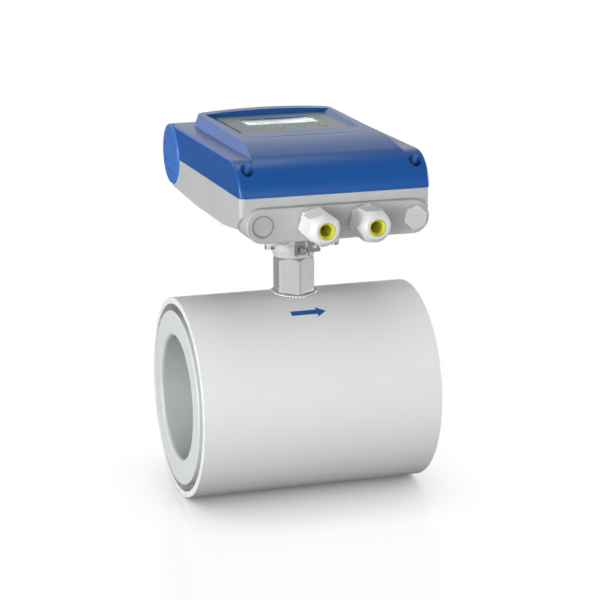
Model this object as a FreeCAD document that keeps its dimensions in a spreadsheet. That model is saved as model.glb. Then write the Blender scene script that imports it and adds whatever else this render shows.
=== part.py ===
import FreeCAD, Part
import math
import operator
import os

import Sketcher
from FreeCAD import Placement, Rotation, Vector

# An electromagnetic flow meter: a lined sensor tube that is clamped between two pipe flanges, and a
# signal converter with a display that stands on its neck. Lengths are in millimetres. The origin is
# the centre of the bore, +X is the flow, +Z points up to the converter and the cable glands face -Y.

doc = FreeCAD.newDocument("flow_meter")

sizes = {
    # sensor
    "shell_length": 200.0,
    "shell_radius": 82.25,
    "shell_wall": 4.95,
    "shell_edge": 0.8,
    "tube_radius": 57.15,
    "tube_wall": 2.6,
    "liner_wall": 3.75,
    "liner_gap": 5.7,
    "liner_proud": 1.5,
    "liner_face_depth": 8.0,
    "liner_overhang": 1.6,
    "liner_lead_in": 3.0,
    "end_disc_depth": 6.0,
    "end_collar_depth": 9.5,
    # magnet system inside the shell
    "shoe_half_width": 36.0,
    "shoe_half_length": 32.0,
    "shoe_depth": 2.5,
    "core_radius": 13.0,
    "coil_radius": 27.0,
    "coil_play": 0.3,
    "yoke_play": 1.8,
    "yoke_wall": 2.0,
    "yoke_half_length": 30.0,
    "yoke_hole": 12.0,
    # electrodes
    "electrode_pin": 2.0,
    "electrode_head": 5.0,
    "electrode_head_depth": 1.6,
    "electrode_end": 1.5,
    "sleeve_radius": 4.9,
    "sleeve_flange": 8.0,
    "sleeve_flange_depth": 2.0,
    "electrode_nut_depth": 3.2,
    "electrode_nut_radius": 4.04,
    # neck
    "neck_flat": 15.1,
    "neck_wall": 2.7,
    "neck_rise": 30.25,
    "neck_corner": 2.0,
    "neck_edge": 0.6,
    "weld_radius": 3.0,
    "wire_hole": 10.5,
    "stem_radius": 18.2,
    "stem_foot_radius": 16.4,
    "stem_flare": 6.0,
    "stem_plug": 8.0,
    "stem_rise": 14.8,
    "plate_depth": 3.0,
    "plate_half_x": 31.0,
    "plate_half_y": 30.0,
    "plate_corner": 5.0,
    "plate_notch": 3.6,
    "plate_notch_depth": 2.6,
    "plate_notch_pitch": 5.4,
    "plate_notch_start": 14.6,
    "plate_screw_x": 27.0,
    "plate_screw_y": 23.0,
    "plate_screw_radius": 2.5,
    "plate_screw_head": 4.25,
    "plate_screw_head_depth": 3.2,
    "plate_screw_grip": 8.0,
    "seal_depth": 0.5,
    "seal_inset": 0.4,
    # earth terminal on the neck plate
    "earth_x": -3.0,
    "earth_drop": 4.5,
    "earth_block_half": 5.6,
    "earth_block_height": 9.0,
    "earth_sheet": 1.2,
    "earth_cheek": 3.4,
    "earth_slit": 1.8,
    "earth_tab_reach": 16.4,
    "earth_tab_hole": 1.9,
    "earth_screw_radius": 2.0,
    "earth_screw_head": 4.0,
    "earth_screw_head_depth": 2.8,
    "earth_screw_length": 11.0,
    # converter housing
    "housing_half_width": 76.7,
    "housing_front": 110.0,
    "housing_wall": 3.0,
    "foot_height": 24.2,
    "sill_rise": 3.8,
    "tail_lip": 1.3,
    "belly_front": 62.0,
    "belly_back": 22.0,
    "housing_corner": 4.0,
    "housing_slope_rise": 15.0,
    "housing_slope_depth": 11.0,
    "side_height": 28.6,
    "seam_gap": 0.2,
    "rim_wall": 4.2,
    "rim_band": 4.2,
    "rim_band_proud": 1.2,
    "corner_post_side": 18.7,
    "corner_post_inset": 20.0,
    "rear_wall": 8.0,
    "foot_half_x": 31.0,
    "foot_half_y": 28.0,
    "foot_top_half_x": 38.0,
    "foot_top_half_y": 35.0,
    "foot_corner": 6.0,
    "foot_wall": 4.0,
    # cable entries
    "entry_pad_proud": 8.0,
    "entry_pad_length": 32.0,
    "entry_pad_radius": 13.3,
    "entry_rise": 7.9,
    "entry_side": 16.2,
    "entry_hole": 9.85,
    "entry_clearance": 0.1,
    # cover
    "cover_height": 26.7,
    "cover_overhang": 0.6,
    "cover_wall": 3.0,
    "nose_radius": 26.9,
    "crown_slope_length": 69.6,
    "crown_front_rise": 8.0,
    "crown_back_rise": 9.9,
    "crown_rise": 2.6,
    "crown_back_inset": 14.4,
    "crown_side": 18.7,
    "crown_flare": 3.7,
    "crown_corner": 5.0,
    "slope_radius": 163.0,
    "slope_break_inset": 24.6,
    "slope_break_rise": 1.8,
    "slope_nose_radius": 36.0,
    "slope_end_inset": 4.9,
    "slope_end_drop": 11.3,
    "cover_edge": 2.0,
    # display
    "recess_rise": 6.6,
    "recess_rim": 12.0,
    "recess_front": 14.0,
    "recess_back": 70.5,
    "recess_flare": 2.27,
    "recess_floor_depth": 2.4,
    "foil_depth": 0.6,
    "window_half": 30.3,
    "window_front": 24.0,
    "window_back": 54.0,
    "window_depth": 1.0,
    "window_play": 0.3,
    "display_module_side": 5.7,
    "display_module_margin": 5.2,
    "display_module_depth": 4.5,
    "display_board_side": 4.0,
    "display_board_front": 8.0,
    "display_board_back": 67.0,
    "display_post_radius": 3.5,
    "key_radius": 4.0,
    "key_y": 4.5,
    "key_pitch": 18.0,
    "key_proud": 0.1,
    "key_travel": 0.6,
    "key_flange": 5.0,
    "key_flange_depth": 1.0,
    "key_stem": 2.0,
    "switch_half": 3.0,
    "switch_depth": 1.4,
    # hinge
    "rear_rib_depth": 3.0,
    "rear_rib_inset": 2.2,
    "hinge_y": 96.4,
    "hinge_rise": 1.4,
    "hinge_pin": 4.0,
    "hinge_pin_play": 0.05,
    "hinge_cap_proud": 1.5,
    "hinge_cap_sunk": 2.3,
    "hinge_cap_gap": 0.6,
    "hinge_cap_dot": 1.2,
    "hinge_cap_dot_depth": 2.0,
    "hinge_cap_dot_ring": 16.2,
    "knuckle_radius": 19.8,
    "knuckle_length": 16.0,
    "knuckle_drop": 12.5,
    "moving_gap": 0.4,
    # cover screws
    "screw_side": 8.7,
    "screw_inset": 10.0,
    "screw_well": 5.1,
    "screw_seat_rise": 3.4,
    "screw_head": 4.4,
    "screw_head_depth": 4.0,
    "screw_shank": 2.4,
    "screw_thread_play": 0.16,
    "screw_grip": 4.4,
    # cable glands
    "gland_gasket_depth": 1.0,
    "gland_hex": 12.0,
    "gland_flange_depth": 5.3,
    "gland_gap": 0.8,
    "gland_reach": 32.0,
    "gland_nut_straight": 11.4,
    "gland_dome_bend": 20.0,
    "gland_nose": 8.6,
    "gland_tail": 8.65,
    "gland_tail_length": 15.0,
    "gland_thread_length": 11.0,
    "gland_bore": 5.6,
    "gland_seal_radius": 6.4,
    "gland_seal_bore": 4.5,
    "gland_seal_mouth": 5.9,
    "gland_seal_cone": 2.5,
    "gland_seal_length": 21.0,
    # blanking plugs
    "round_plug": 8.3,
    "round_plug_groove": 0.55,
    "round_plug_groove_depth": 1.6,
    "round_plug_sunk": 1.0,
    "hex_plug": 8.7,
    "hex_plug_hole": 7.9,
    "hex_plug_reach": 6.0,
    # electronics in the housing
    "board_side": 18.7,
    "board_front_inset": 36.0,
    "board_back_inset": 44.4,
    "board_depth": 1.6,
    "board_rise": 12.0,
    "board_post": 3.6,
    "board_inset": 6.0,
    "board_screw": 1.5,
    "board_screw_head": 2.8,
    "board_screw_head_depth": 1.8,
    "board_screw_length": 3.5,
    "display_screw_head_depth": 1.0,
    "display_screw_length": 5.0,
    "terminal_depth": 11.0,
    "terminal_height": 10.0,
    "terminal_pitch": 5.08,
    "terminal_inset": 4.0,
    "power_terminal_inset": 24.0,
    "signal_terminal_inset": 42.0,
    "supply_inset": 12.0,
    "supply_inset_y": 44.0,
    "supply_length": 32.0,
    "supply_width": 36.0,
    "supply_height": 11.0,
    "capacitor_radius": 5.0,
    "capacitor_height": 11.8,
    "capacitor_pitch": 14.0,
    "capacitor_inset": 12.0,
    "capacitor_inset_y": 40.0,
    "chip_half": 5.0,
    "chip_depth": 1.6,
    "groove_width": 1.8,
    "groove_depth": 1.6,
}

sheet = doc.addObject("Spreadsheet::Sheet", "Sizes")
for row, (name, number) in enumerate(sizes.items(), start=1):
    sheet.set("A%d" % row, name)
    sheet.set("B%d" % row, str(number))
    sheet.setAlias("B%d" % row, name)
doc.recompute()


# ---- sizes that carry their own expression ----------------------------------------------------

class Size:
    """A length: the number it has now, and the sheet expression that gives it."""

    def __init__(self, number, text):
        self.number = number
        self.text = text

    def __add__(self, other):
        return joined(self, "+", other, operator.add)

    def __radd__(self, other):
        return joined(other, "+", self, operator.add)

    def __sub__(self, other):
        return joined(self, "-", other, operator.sub)

    def __rsub__(self, other):
        return joined(other, "-", self, operator.sub)

    def __mul__(self, other):
        return joined(self, "*", other, operator.mul)

    def __rmul__(self, other):
        return joined(other, "*", self, operator.mul)

    def __truediv__(self, other):
        return joined(self, "/", other, operator.truediv)

    def __neg__(self):
        return joined(0, "-", self, operator.sub)

    def root(self):
        return Size(math.sqrt(self.number), "sqrt(%s)" % self.text)


def as_size(value):
    return value if isinstance(value, Size) else Size(float(value), repr(float(value)))


def joined(left, sign, right, work):
    left, right = as_size(left), as_size(right)
    text = "(%s %s %s)" % (left.text, sign, right.text)
    return Size(work(left.number, right.number), text)


def leg(long_side, short_side):
    """The third side of a right triangle."""
    return (long_side * long_side - short_side * short_side).root()


class SizeBook:
    """The sheet's cells as attributes."""

    def __getattr__(self, name):
        return Size(sizes[name], "Sizes." + name)


s = SizeBook()

# heights, from the sensor up
s.neck_top = s.shell_radius + s.neck_rise
s.plate_base = s.neck_top + s.stem_rise
s.earth_z = s.plate_base - s.earth_drop
s.earth_block_base = s.plate_base - s.earth_block_height
s.housing_floor = s.plate_base + s.plate_depth + s.seal_depth + s.foot_height
s.housing_sill = s.housing_floor + s.sill_rise
s.housing_slope_top = s.housing_floor + s.housing_slope_rise
s.entry_z = s.housing_floor + s.entry_rise
s.board_base = s.housing_floor + s.board_rise
s.seam = s.housing_floor + s.side_height
s.hinge_z = s.seam + s.hinge_rise
s.screw_seat = s.seam + s.screw_seat_rise
s.shoulder_top = s.seam + s.cover_height
s.housing_tail = s.hinge_z - (s.shoulder_top - s.hinge_z) - s.moving_gap - s.tail_lip
s.crown_front_top = s.shoulder_top + s.crown_front_rise
s.crown_back_top = s.shoulder_top + s.crown_back_rise
s.slope_break_top = s.shoulder_top + s.slope_break_rise
s.slope_end_z = s.shoulder_top - s.slope_end_drop
s.recess_floor = s.shoulder_top + s.recess_rise

# distances from the middle, towards the glands and towards the hinge
s.cover_front = s.housing_front + s.cover_overhang
s.entry_pad_front = s.housing_front + s.entry_pad_proud
s.entry_pad_back = s.entry_pad_front - s.entry_pad_length
s.gland_face = s.entry_pad_front + s.gland_reach
s.screw_y = s.housing_front - s.screw_inset
s.corner_post_y = s.housing_front - s.corner_post_inset
s.board_front = s.housing_front - s.board_front_inset
s.board_back = s.hinge_y - s.board_back_inset
s.terminal_front = s.board_front - s.terminal_inset
s.supply_front = s.board_front - s.supply_inset_y
s.capacitor_front = s.board_front - s.capacitor_inset_y
s.crown_front_y = s.cover_front - s.crown_slope_length
s.crown_back = s.hinge_y - s.crown_back_inset
s.slope_break_y = s.cover_front - s.slope_break_inset
s.slope_end_y = s.cover_front - s.slope_end_inset


# ---- sketches ---------------------------------------------------------------------------------

NORMALS = {"XY": 1, "XZ": -1, "YZ": 1}
nodes = []


def bind(item, field, value):
    item.setExpression(field, as_size(value).text)


def new_body(label, keep=True):
    body = doc.addObject("PartDesign::Body", label)
    body.Label = label
    if keep:
        nodes.append(body)
    return body


def sketch_in(body, plane, offset=0):
    """An empty sketch on one of the body's origin planes, moved along the row axis by offset."""
    sketch = body.newObject("Sketcher::SketchObject", body.Name + "_sketch")
    role = plane + "_Plane"
    support = next(item for item in body.Origin.OriginFeatures if item.Role == role)
    sketch.AttachmentSupport = [(support, "")]
    sketch.MapMode = "FlatFace"
    bind(sketch, "AttachmentOffset.Base.z", as_size(offset) * NORMALS[plane])
    return sketch


def measure(sketch, kind, *terms):
    """One dimension whose last term is a size."""
    value = as_size(terms[-1])
    index = sketch.addConstraint(Sketcher.Constraint(kind, *terms[:-1], value.number))
    sketch.setExpression("Constraints[%d]" % index, value.text)


def place(sketch, item, end, across, up):
    measure(sketch, "DistanceX", -1, 1, item, end, across)
    measure(sketch, "DistanceY", -1, 1, item, end, up)


def arc_through(start, end, radius):
    """An arc from start to end that turns left where radius is positive and right elsewhere."""
    chord = end - start
    middle = (start + end) * 0.5
    side = Vector(-chord.y, chord.x, 0).normalize()
    height = math.sqrt(max(radius * radius - chord.Length ** 2 / 4, 0))
    centre = middle + side * math.copysign(height, radius)
    first, last = (start, end) if radius > 0 else (end, start)
    angles = [math.atan2(point.y - centre.y, point.x - centre.x) for point in (first, last)]
    circle = Part.Circle(centre, Vector(0, 0, 1), abs(radius))
    return Part.ArcOfCircle(circle, angles[0], angles[1])


def chain(*points):
    """A closed outline: each point is (across, up), and a third value bends the edge after it."""
    def draw(sketch):
        first = sketch.GeometryCount
        count = len(points)
        spots = [Vector(as_size(p[0]).number, as_size(p[1]).number, 0) for p in points]
        ends = []
        for index, point in enumerate(points):
            start, end = spots[index], spots[(index + 1) % count]
            if len(point) == 3:
                bend = as_size(point[2])
                sketch.addGeometry(arc_through(start, end, bend.number), False)
                ends.append((1, 2) if bend.number > 0 else (2, 1))
            else:
                sketch.addGeometry(Part.LineSegment(start, end), False)
                ends.append((1, 2))
        for index, point in enumerate(points):
            following = (index + 1) % count
            sketch.addConstraint(Sketcher.Constraint(
                "Coincident", first + index, ends[index][1], first + following, ends[following][0]))
            place(sketch, first + index, ends[index][0], point[0], point[1])
            if len(point) == 3:
                bend = as_size(point[2])
                measure(sketch, "Radius", first + index, bend if bend.number > 0 else -bend)
    return draw


def rectangle(left, right, low, high):
    return chain((left, low), (right, low), (right, high), (left, high))


def circle(across, up, radius):
    def draw(sketch):
        centre = Vector(as_size(across).number, as_size(up).number, 0)
        shape = Part.Circle(centre, Vector(0, 0, 1), as_size(radius).number)
        item = sketch.addGeometry(shape, False)
        place(sketch, item, 3, across, up)
        measure(sketch, "Radius", item, radius)
    return draw


def slot(half_span, up, radius):
    """Two half circles about x = +-half_span, joined by straight edges."""
    def draw(sketch):
        span, height, r = as_size(half_span).number, as_size(up).number, as_size(radius).number
        axis = Vector(0, 0, 1)
        left = Part.Circle(Vector(-span, height, 0), axis, r)
        right = Part.Circle(Vector(span, height, 0), axis, r)
        quarter = math.pi / 2
        items = [
            Part.ArcOfCircle(left, quarter, 3 * quarter),
            Part.LineSegment(Vector(-span, height - r, 0), Vector(span, height - r, 0)),
            Part.ArcOfCircle(right, -quarter, quarter),
            Part.LineSegment(Vector(span, height + r, 0), Vector(-span, height + r, 0)),
        ]
        first = sketch.GeometryCount
        sketch.addGeometry(items, False)
        for index in range(4):
            after = first + (index + 1) % 4
            sketch.addConstraint(Sketcher.Constraint("Tangent", first + index, 2, after, 1))
        sketch.addConstraint(Sketcher.Constraint("Equal", first, first + 2))
        measure(sketch, "Radius", first, radius)
        place(sketch, first, 3, -as_size(half_span), up)
        place(sketch, first + 2, 3, half_span, up)
    return draw


def hexagon(across, up, flat_radius, turn=0):
    """A hexagon by the radius of its flats; a turn of 0 stands it on a flat."""
    corner = as_size(flat_radius) * (2 / math.sqrt(3))
    points = []
    for index in range(6):
        angle = math.radians(60 * index + turn)
        points.append((across + corner * math.cos(angle), up + corner * math.sin(angle)))
    return chain(*points)


# ---- features ---------------------------------------------------------------------------------

def extruded(kind, body, plane, start, end, outlines):
    sketch = sketch_in(body, plane, start)
    for draw in outlines:
        draw(sketch)
    feature = body.newObject("PartDesign::" + kind, body.Name + "_" + kind.lower())
    feature.Profile = sketch
    run = (as_size(end) - start) * NORMALS[plane]
    forward = run.number > 0
    bind(feature, "Length", run if forward else -run)
    feature.Reversed = forward == (kind == "Pocket")
    return feature


def pad(body, plane, start, end, *outlines):
    return extruded("Pad", body, plane, start, end, outlines)


def pocket(body, plane, start, end, *outlines):
    return extruded("Pocket", body, plane, start, end, outlines)


def spun(kind, body, axis, outline):
    plane, line = {"X": ("XZ", "H_Axis"), "Y": ("YZ", "H_Axis"), "Z": ("XZ", "V_Axis")}[axis]
    sketch = sketch_in(body, plane)
    outline(sketch)
    feature = body.newObject("PartDesign::" + kind, body.Name + "_" + kind.lower())
    feature.Profile = sketch
    feature.ReferenceAxis = (sketch, [line])
    feature.Angle = 360
    return feature


def turned(body, axis, *points):
    """A full turn of a profile of (along, radius) points, or (radius, height) about Z."""
    return spun("Revolution", body, axis, chain(*points))


def grooved(body, axis, *points):
    return spun("Groove", body, axis, chain(*points))


def lofted(kind, body, plane, stations):
    """A loft through (offset, outline) stations."""
    sketches = []
    for offset, outline in stations:
        sketch = sketch_in(body, plane, offset)
        outline(sketch)
        sketches.append(sketch)
    feature = body.newObject("PartDesign::" + kind, body.Name + "_" + kind.lower())
    feature.Profile = sketches[0]
    feature.Sections = sketches[1:]
    feature.Ruled = True
    return feature


def dressed(kind, body, size, test):
    """A fillet or chamfer on the edges of the body so far that pass the test."""
    doc.recompute()
    base = body.Tip
    names = ["Edge%d" % (i + 1) for i, edge in enumerate(base.Shape.Edges) if test(edge)]
    if not names:
        raise RuntimeError("no edges to dress on " + body.Label)
    feature = body.newObject("PartDesign::" + kind, body.Name + "_" + kind.lower())
    feature.Base = (base, names)
    bind(feature, "Radius" if kind == "Fillet" else "Size", size)
    return feature


def fillet(body, size, test):
    return dressed("Fillet", body, size, test)


def chamfer(body, size, test):
    return dressed("Chamfer", body, size, test)


def repeated(body, features, axis, count):
    """Copies of features spaced round one of the body's own axes."""
    pattern = body.newObject("PartDesign::PolarPattern", body.Name + "_pattern")
    pattern.Originals = features
    line = next(item for item in body.Origin.OriginFeatures if item.Role == axis + "_Axis")
    pattern.Axis = (line, [""])
    pattern.Angle = 360
    pattern.Occurrences = count
    body.Tip = pattern
    return pattern


def shifted(item, x=0, y=0, z=0):
    for field, value in (("x", x), ("y", y), ("z", z)):
        bind(item, "Placement.Base." + field, value)


def group(label, members):
    """Like pieces that share one node."""
    compound = doc.addObject("Part::Compound", label)
    compound.Label = label
    compound.Links = members
    nodes.append(compound)
    return compound


def near(value, target, slack=0.05):
    return abs(value - as_size(target).number) < slack


def along(edge, axis):
    """True for a straight edge that runs along a row axis."""
    if edge.Curve.TypeId != "Part::GeomLine":
        return False
    return abs(getattr(edge.Curve.Direction, axis)) > 0.999


# ---- sensor -----------------------------------------------------------------------------------

half_length = s.shell_length / 2
shell_bore = s.shell_radius - s.shell_wall
tube_bore = s.tube_radius - s.tube_wall
bore = tube_bore - s.liner_wall
liner_face = half_length + s.liner_proud
liner_radius = shell_bore - s.liner_gap
disc_face = liner_face - s.liner_face_depth
yoke_radius = shell_bore - s.yoke_play
yoke_bore = yoke_radius - s.yoke_wall
neck_bore = s.neck_flat - s.neck_wall


def make_sensor_housing():
    body = new_body("sensor_housing")
    pad(body, "YZ", -half_length, half_length,
        circle(0, 0, s.shell_radius), circle(0, 0, shell_bore))
    fillet(body, s.shell_edge, lambda edge: near(edge.BoundBox.ZLength / 2, s.shell_radius))
    pocket(body, "XY", s.shell_radius, 0, circle(0, 0, s.wire_hole))


def make_end_disc(label, side):
    """The ring between tube and shell, with the collar that backs the liner's face."""
    body = new_body(label)
    step = disc_face - s.end_collar_depth
    collar = liner_radius - s.liner_overhang
    turned(body, "X",
           (side * (step - s.end_disc_depth), s.tube_radius),
           (side * (step - s.end_disc_depth), shell_bore), (side * step, shell_bore),
           (side * step, collar), (side * disc_face, collar), (side * disc_face, s.tube_radius))


def make_measuring_tube():
    body = new_body("measuring_tube")
    pad(body, "YZ", -disc_face, disc_face,
        circle(0, 0, s.tube_radius), circle(0, 0, tube_bore))
    for side in (-1, 1):
        pocket(body, "XZ", 0, side * s.shell_radius, circle(0, 0, s.sleeve_radius))


def make_liner():
    body = new_body("liner")
    lip = s.liner_lead_in
    turned(body, "X",
           (-liner_face, bore + lip, lip), (-liner_face + lip, bore), (liner_face - lip, bore, lip),
           (liner_face, bore + lip), (liner_face, liner_radius),
           (disc_face, liner_radius), (disc_face, tube_bore),
           (-disc_face, tube_bore), (-disc_face, liner_radius), (-liner_face, liner_radius))
    fillet(body, 0.6, lambda edge: near(edge.BoundBox.ZLength / 2, liner_radius)
           and near(abs(edge.CenterOfMass.x), liner_face))
    for side in (-1, 1):
        pocket(body, "XZ", 0, side * s.tube_radius, circle(0, 0, s.electrode_pin))
        pocket(body, "XZ", 0, side * (bore + 0.1 + s.electrode_head_depth),
               circle(0, 0, s.electrode_head))


def saddle_block(body, half_width, half_length, inner, outer, side):
    """A block bent round the tube, as wide and as long as given, above or below it."""
    low, high = leg(inner, half_width), leg(outer, half_width)
    pad(body, "YZ", -half_length, half_length,
        chain((half_width, side * low), (half_width, side * high, side * outer),
              (-half_width, side * high), (-half_width, side * low, -side * inner)))


def make_pole_pieces():
    """The two curved shoes that hug the tube, each with the core that carries its coil."""
    members = []
    for name, side in (("upper", 1), ("lower", -1)):
        body = new_body("pole_piece_" + name, keep=False)
        inner, outer = s.tube_radius, s.tube_radius + s.shoe_depth
        saddle_block(body, s.shoe_half_width, s.shoe_half_length, inner, outer, side)
        pad(body, "XY", side * (inner + s.shoe_depth / 2), side * leg(yoke_bore, s.core_radius),
            circle(0, 0, s.core_radius))
        members.append(body)
    group("pole_pieces", members)


def make_coil(label, side):
    """A round coil that is bent to the tube, on the core of its pole piece."""
    body = new_body(label)
    low = s.tube_radius + s.shoe_depth + s.coil_play
    high = yoke_bore - s.coil_play
    reach = s.coil_radius
    saddle_block(body, reach, reach, low, high, side)
    for outlines in ((rectangle(-reach - 2, reach + 2, -reach - 2, reach + 2), circle(0, 0, reach)),
                     (circle(0, 0, s.core_radius + s.coil_play),)):
        pocket(body, "XY", side * (high + 1), side * (leg(low, reach) - 1), *outlines)


def make_return_yoke():
    body = new_body("return_yoke")
    pad(body, "YZ", -s.yoke_half_length, s.yoke_half_length,
        circle(0, 0, yoke_radius), circle(0, 0, yoke_bore))
    wire_x = (s.core_radius + s.yoke_half_length) / 2
    pocket(body, "XY", s.shell_radius, 0, circle(wire_x, 0, s.wire_hole / 2))


def make_electrodes():
    """Flush pins through the liner on the horizontal diameter, with their sleeves and nuts."""
    pins, sleeves, nuts = [], [], []
    head = bore + 0.1
    seat = head + s.electrode_head_depth
    flange = s.tube_radius
    flange_top = flange + s.sleeve_flange_depth
    tip = flange_top + s.electrode_nut_depth + s.electrode_end
    for name, side in (("front", -1), ("rear", 1)):
        pin = new_body("electrode_" + name, keep=False)
        turned(pin, "Y",
               (side * head, 0), (side * head, s.electrode_head), (side * seat, s.electrode_head),
               (side * seat, s.electrode_pin),
               (side * tip, s.electrode_pin), (side * tip, 0))
        pins.append(pin)
        sleeve = new_body("electrode_sleeve_" + name, keep=False)
        turned(sleeve, "Y",
               (side * tube_bore, s.electrode_pin), (side * tube_bore, s.sleeve_radius),
               (side * flange, s.sleeve_radius), (side * flange, s.sleeve_flange),
               (side * flange_top, s.sleeve_flange), (side * flange_top, s.electrode_pin))
        sleeves.append(sleeve)
        nut = new_body("electrode_nut_" + name, keep=False)
        pad(nut, "XZ", side * flange_top, side * (flange_top + s.electrode_nut_depth),
            hexagon(as_size(0), as_size(0), s.electrode_nut_radius),
            circle(0, 0, s.electrode_pin))
        nuts.append(nut)
    group("electrodes", pins)
    group("electrode_sleeves", sleeves)
    group("electrode_nuts", nuts)


# ---- neck -------------------------------------------------------------------------------------

plate_top = s.plate_base + s.plate_depth
foot_base = plate_top + s.seal_depth
plate_corners = [(x, y) for x in (-1, 1) for y in (-1, 1)]


def solid_cylinder(name, radius, start, length, axis="Z"):
    shape = doc.addObject("Part::Cylinder", name)
    bind(shape, "Radius", radius)
    bind(shape, "Height", length)
    if axis == "X":
        shape.Placement = Placement(Vector(), Rotation(Vector(0, 1, 0), 90))
    bind(shape, "Placement.Base." + axis.lower(), start)
    return shape


def part_boolean(kind, name, base, tool):
    item = doc.addObject("Part::" + kind, name)
    item.Base, item.Tool = base, tool
    return item


def part_fillet(name, base, size, test):
    """A fillet on the edges of a plain solid that pass the test."""
    doc.recompute()
    item = doc.addObject("Part::Fillet", name)
    item.Base = base
    item.Edges = [(index, size.number, size.number)
                  for index, edge in enumerate(base.Shape.Edges, start=1) if test(edge)]
    return item


def on_saddle(edge):
    """True for the edges in which the neck meets the outside of the shell."""
    spots = [vertex.Point for vertex in edge.Vertexes]
    round_shell = all(near(math.hypot(spot.y, spot.z), s.shell_radius) for spot in spots)
    return round_shell and all(math.hypot(spot.x, spot.y) < 1.2 * s.neck_flat.number
                               for spot in spots)


def make_neck_tube():
    """A hexagonal neck with a turned top edge, welded to the shell all round."""
    start = s.shell_radius - 2 * s.neck_wall
    bar = doc.addObject("Part::Prism", "neck_bar")
    bar.Polygon = 6
    bind(bar, "Circumradius", s.neck_flat * (2 / math.sqrt(3)))
    bind(bar, "Height", s.neck_top - start)
    bind(bar, "Placement.Base.z", start)
    bar.Placement.Rotation = Rotation(Vector(0, 0, 1), 30)
    eased = part_fillet("neck_eased", bar, s.neck_corner, lambda edge: along(edge, "z"))
    turning = doc.addObject("Part::Cone", "neck_turning")
    slope = s.neck_top - start
    bind(turning, "Radius1", s.neck_flat - s.neck_edge + slope)
    bind(turning, "Radius2", s.neck_flat - s.neck_edge)
    bind(turning, "Height", slope)
    bind(turning, "Placement.Base.z", start)
    stub = part_boolean("Common", "neck_stub", eased, turning)
    saddle = solid_cylinder("neck_saddle", s.shell_radius, -2 * s.neck_flat, 4 * s.neck_flat, "X")
    joint = part_boolean("Fuse", "neck_joint", stub, saddle)
    beaded = part_fillet("neck_beaded", joint, s.weld_radius, on_saddle)
    outside = part_boolean("Cut", "neck_outside", beaded, saddle)
    hollow = solid_cylinder("neck_hollow", neck_bore, 0, s.neck_top + s.neck_wall)
    tube = part_boolean("Cut", "neck_tube", outside, hollow)
    tube.Label = "neck_tube"
    nodes.append(tube)


def make_neck_flange():
    """The stem that plugs into the neck, with the plate that carries the converter."""
    body = new_body("neck_flange")
    turned(body, "Z",
           (s.wire_hole, s.neck_top - s.stem_plug), (neck_bore, s.neck_top - s.stem_plug),
           (neck_bore, s.neck_top), (s.stem_foot_radius, s.neck_top),
           (s.stem_radius, s.neck_top + s.stem_flare), (s.stem_radius, plate_top),
           (s.wire_hole, plate_top))
    pad(body, "XY", s.plate_base, plate_top,
        rectangle(-s.plate_half_x, s.plate_half_x, -s.plate_half_y, s.plate_half_y),
        circle(0, 0, s.stem_radius - 1))
    fillet(body, s.plate_corner,
           lambda edge: along(edge, "z") and near(abs(edge.CenterOfMass.x), s.plate_half_x))
    left, right = s.earth_x - s.earth_block_half, s.earth_x + s.earth_block_half
    pad(body, "XY", s.earth_block_base, s.plate_base + 1,
        rectangle(left, right, -s.plate_half_y, -s.stem_radius + 2))
    pocket(body, "XY", s.plate_base, plate_top,
           rectangle(right, right + s.earth_slit, -s.plate_half_y, -s.stem_radius - 4))
    notches = [-s.plate_notch_start - step * s.plate_notch_pitch for step in (0, 1)]
    pocket(body, "XY", s.plate_base, plate_top,
           *[rectangle(at - s.plate_notch / 2, at + s.plate_notch / 2, -s.plate_half_y,
                       -s.plate_half_y + s.plate_notch_depth) for at in notches])
    for x, y in plate_corners:
        pocket(body, "XY", plate_top, s.plate_base,
               circle(x * s.plate_screw_x, y * s.plate_screw_y, s.plate_screw_radius + 0.2))
    pocket(body, "XZ", -s.plate_half_y, -s.plate_half_y + s.earth_screw_length,
           circle(s.earth_x, s.earth_z, s.earth_screw_radius + s.hinge_pin_play))


def make_neck_seal():
    body = new_body("neck_seal")
    pad(body, "XY", plate_top, foot_base,
        rectangle(-s.foot_half_x + s.seal_inset, s.foot_half_x - s.seal_inset,
                  -s.foot_half_y + s.seal_inset, s.foot_half_y - s.seal_inset),
        circle(0, 0, s.stem_radius))
    for x, y in plate_corners:
        pocket(body, "XY", foot_base, plate_top,
               circle(x * s.plate_screw_x, y * s.plate_screw_y, s.plate_screw_radius + 0.2))
    fillet(body, s.foot_corner,
           lambda edge: along(edge, "z")
           and near(abs(edge.CenterOfMass.x), s.foot_half_x - s.seal_inset))


def make_flange_screws():
    members = []
    for index, (x, y) in enumerate(plate_corners):
        body = new_body("flange_screw_%d" % (index + 1), keep=False)
        bottom = s.plate_base - s.plate_screw_head_depth
        turned(body, "Z",
               (0, bottom), (s.plate_screw_head, bottom), (s.plate_screw_head, s.plate_base),
               (s.plate_screw_radius, s.plate_base),
               (s.plate_screw_radius, foot_base + s.plate_screw_grip),
               (0, foot_base + s.plate_screw_grip))
        pocket(body, "XY", bottom, bottom + 2, hexagon(as_size(0), as_size(0), as_size(2)))
        shifted(body, x=x * s.plate_screw_x, y=y * s.plate_screw_y)
        members.append(body)
    group("flange_screws", members)


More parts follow.
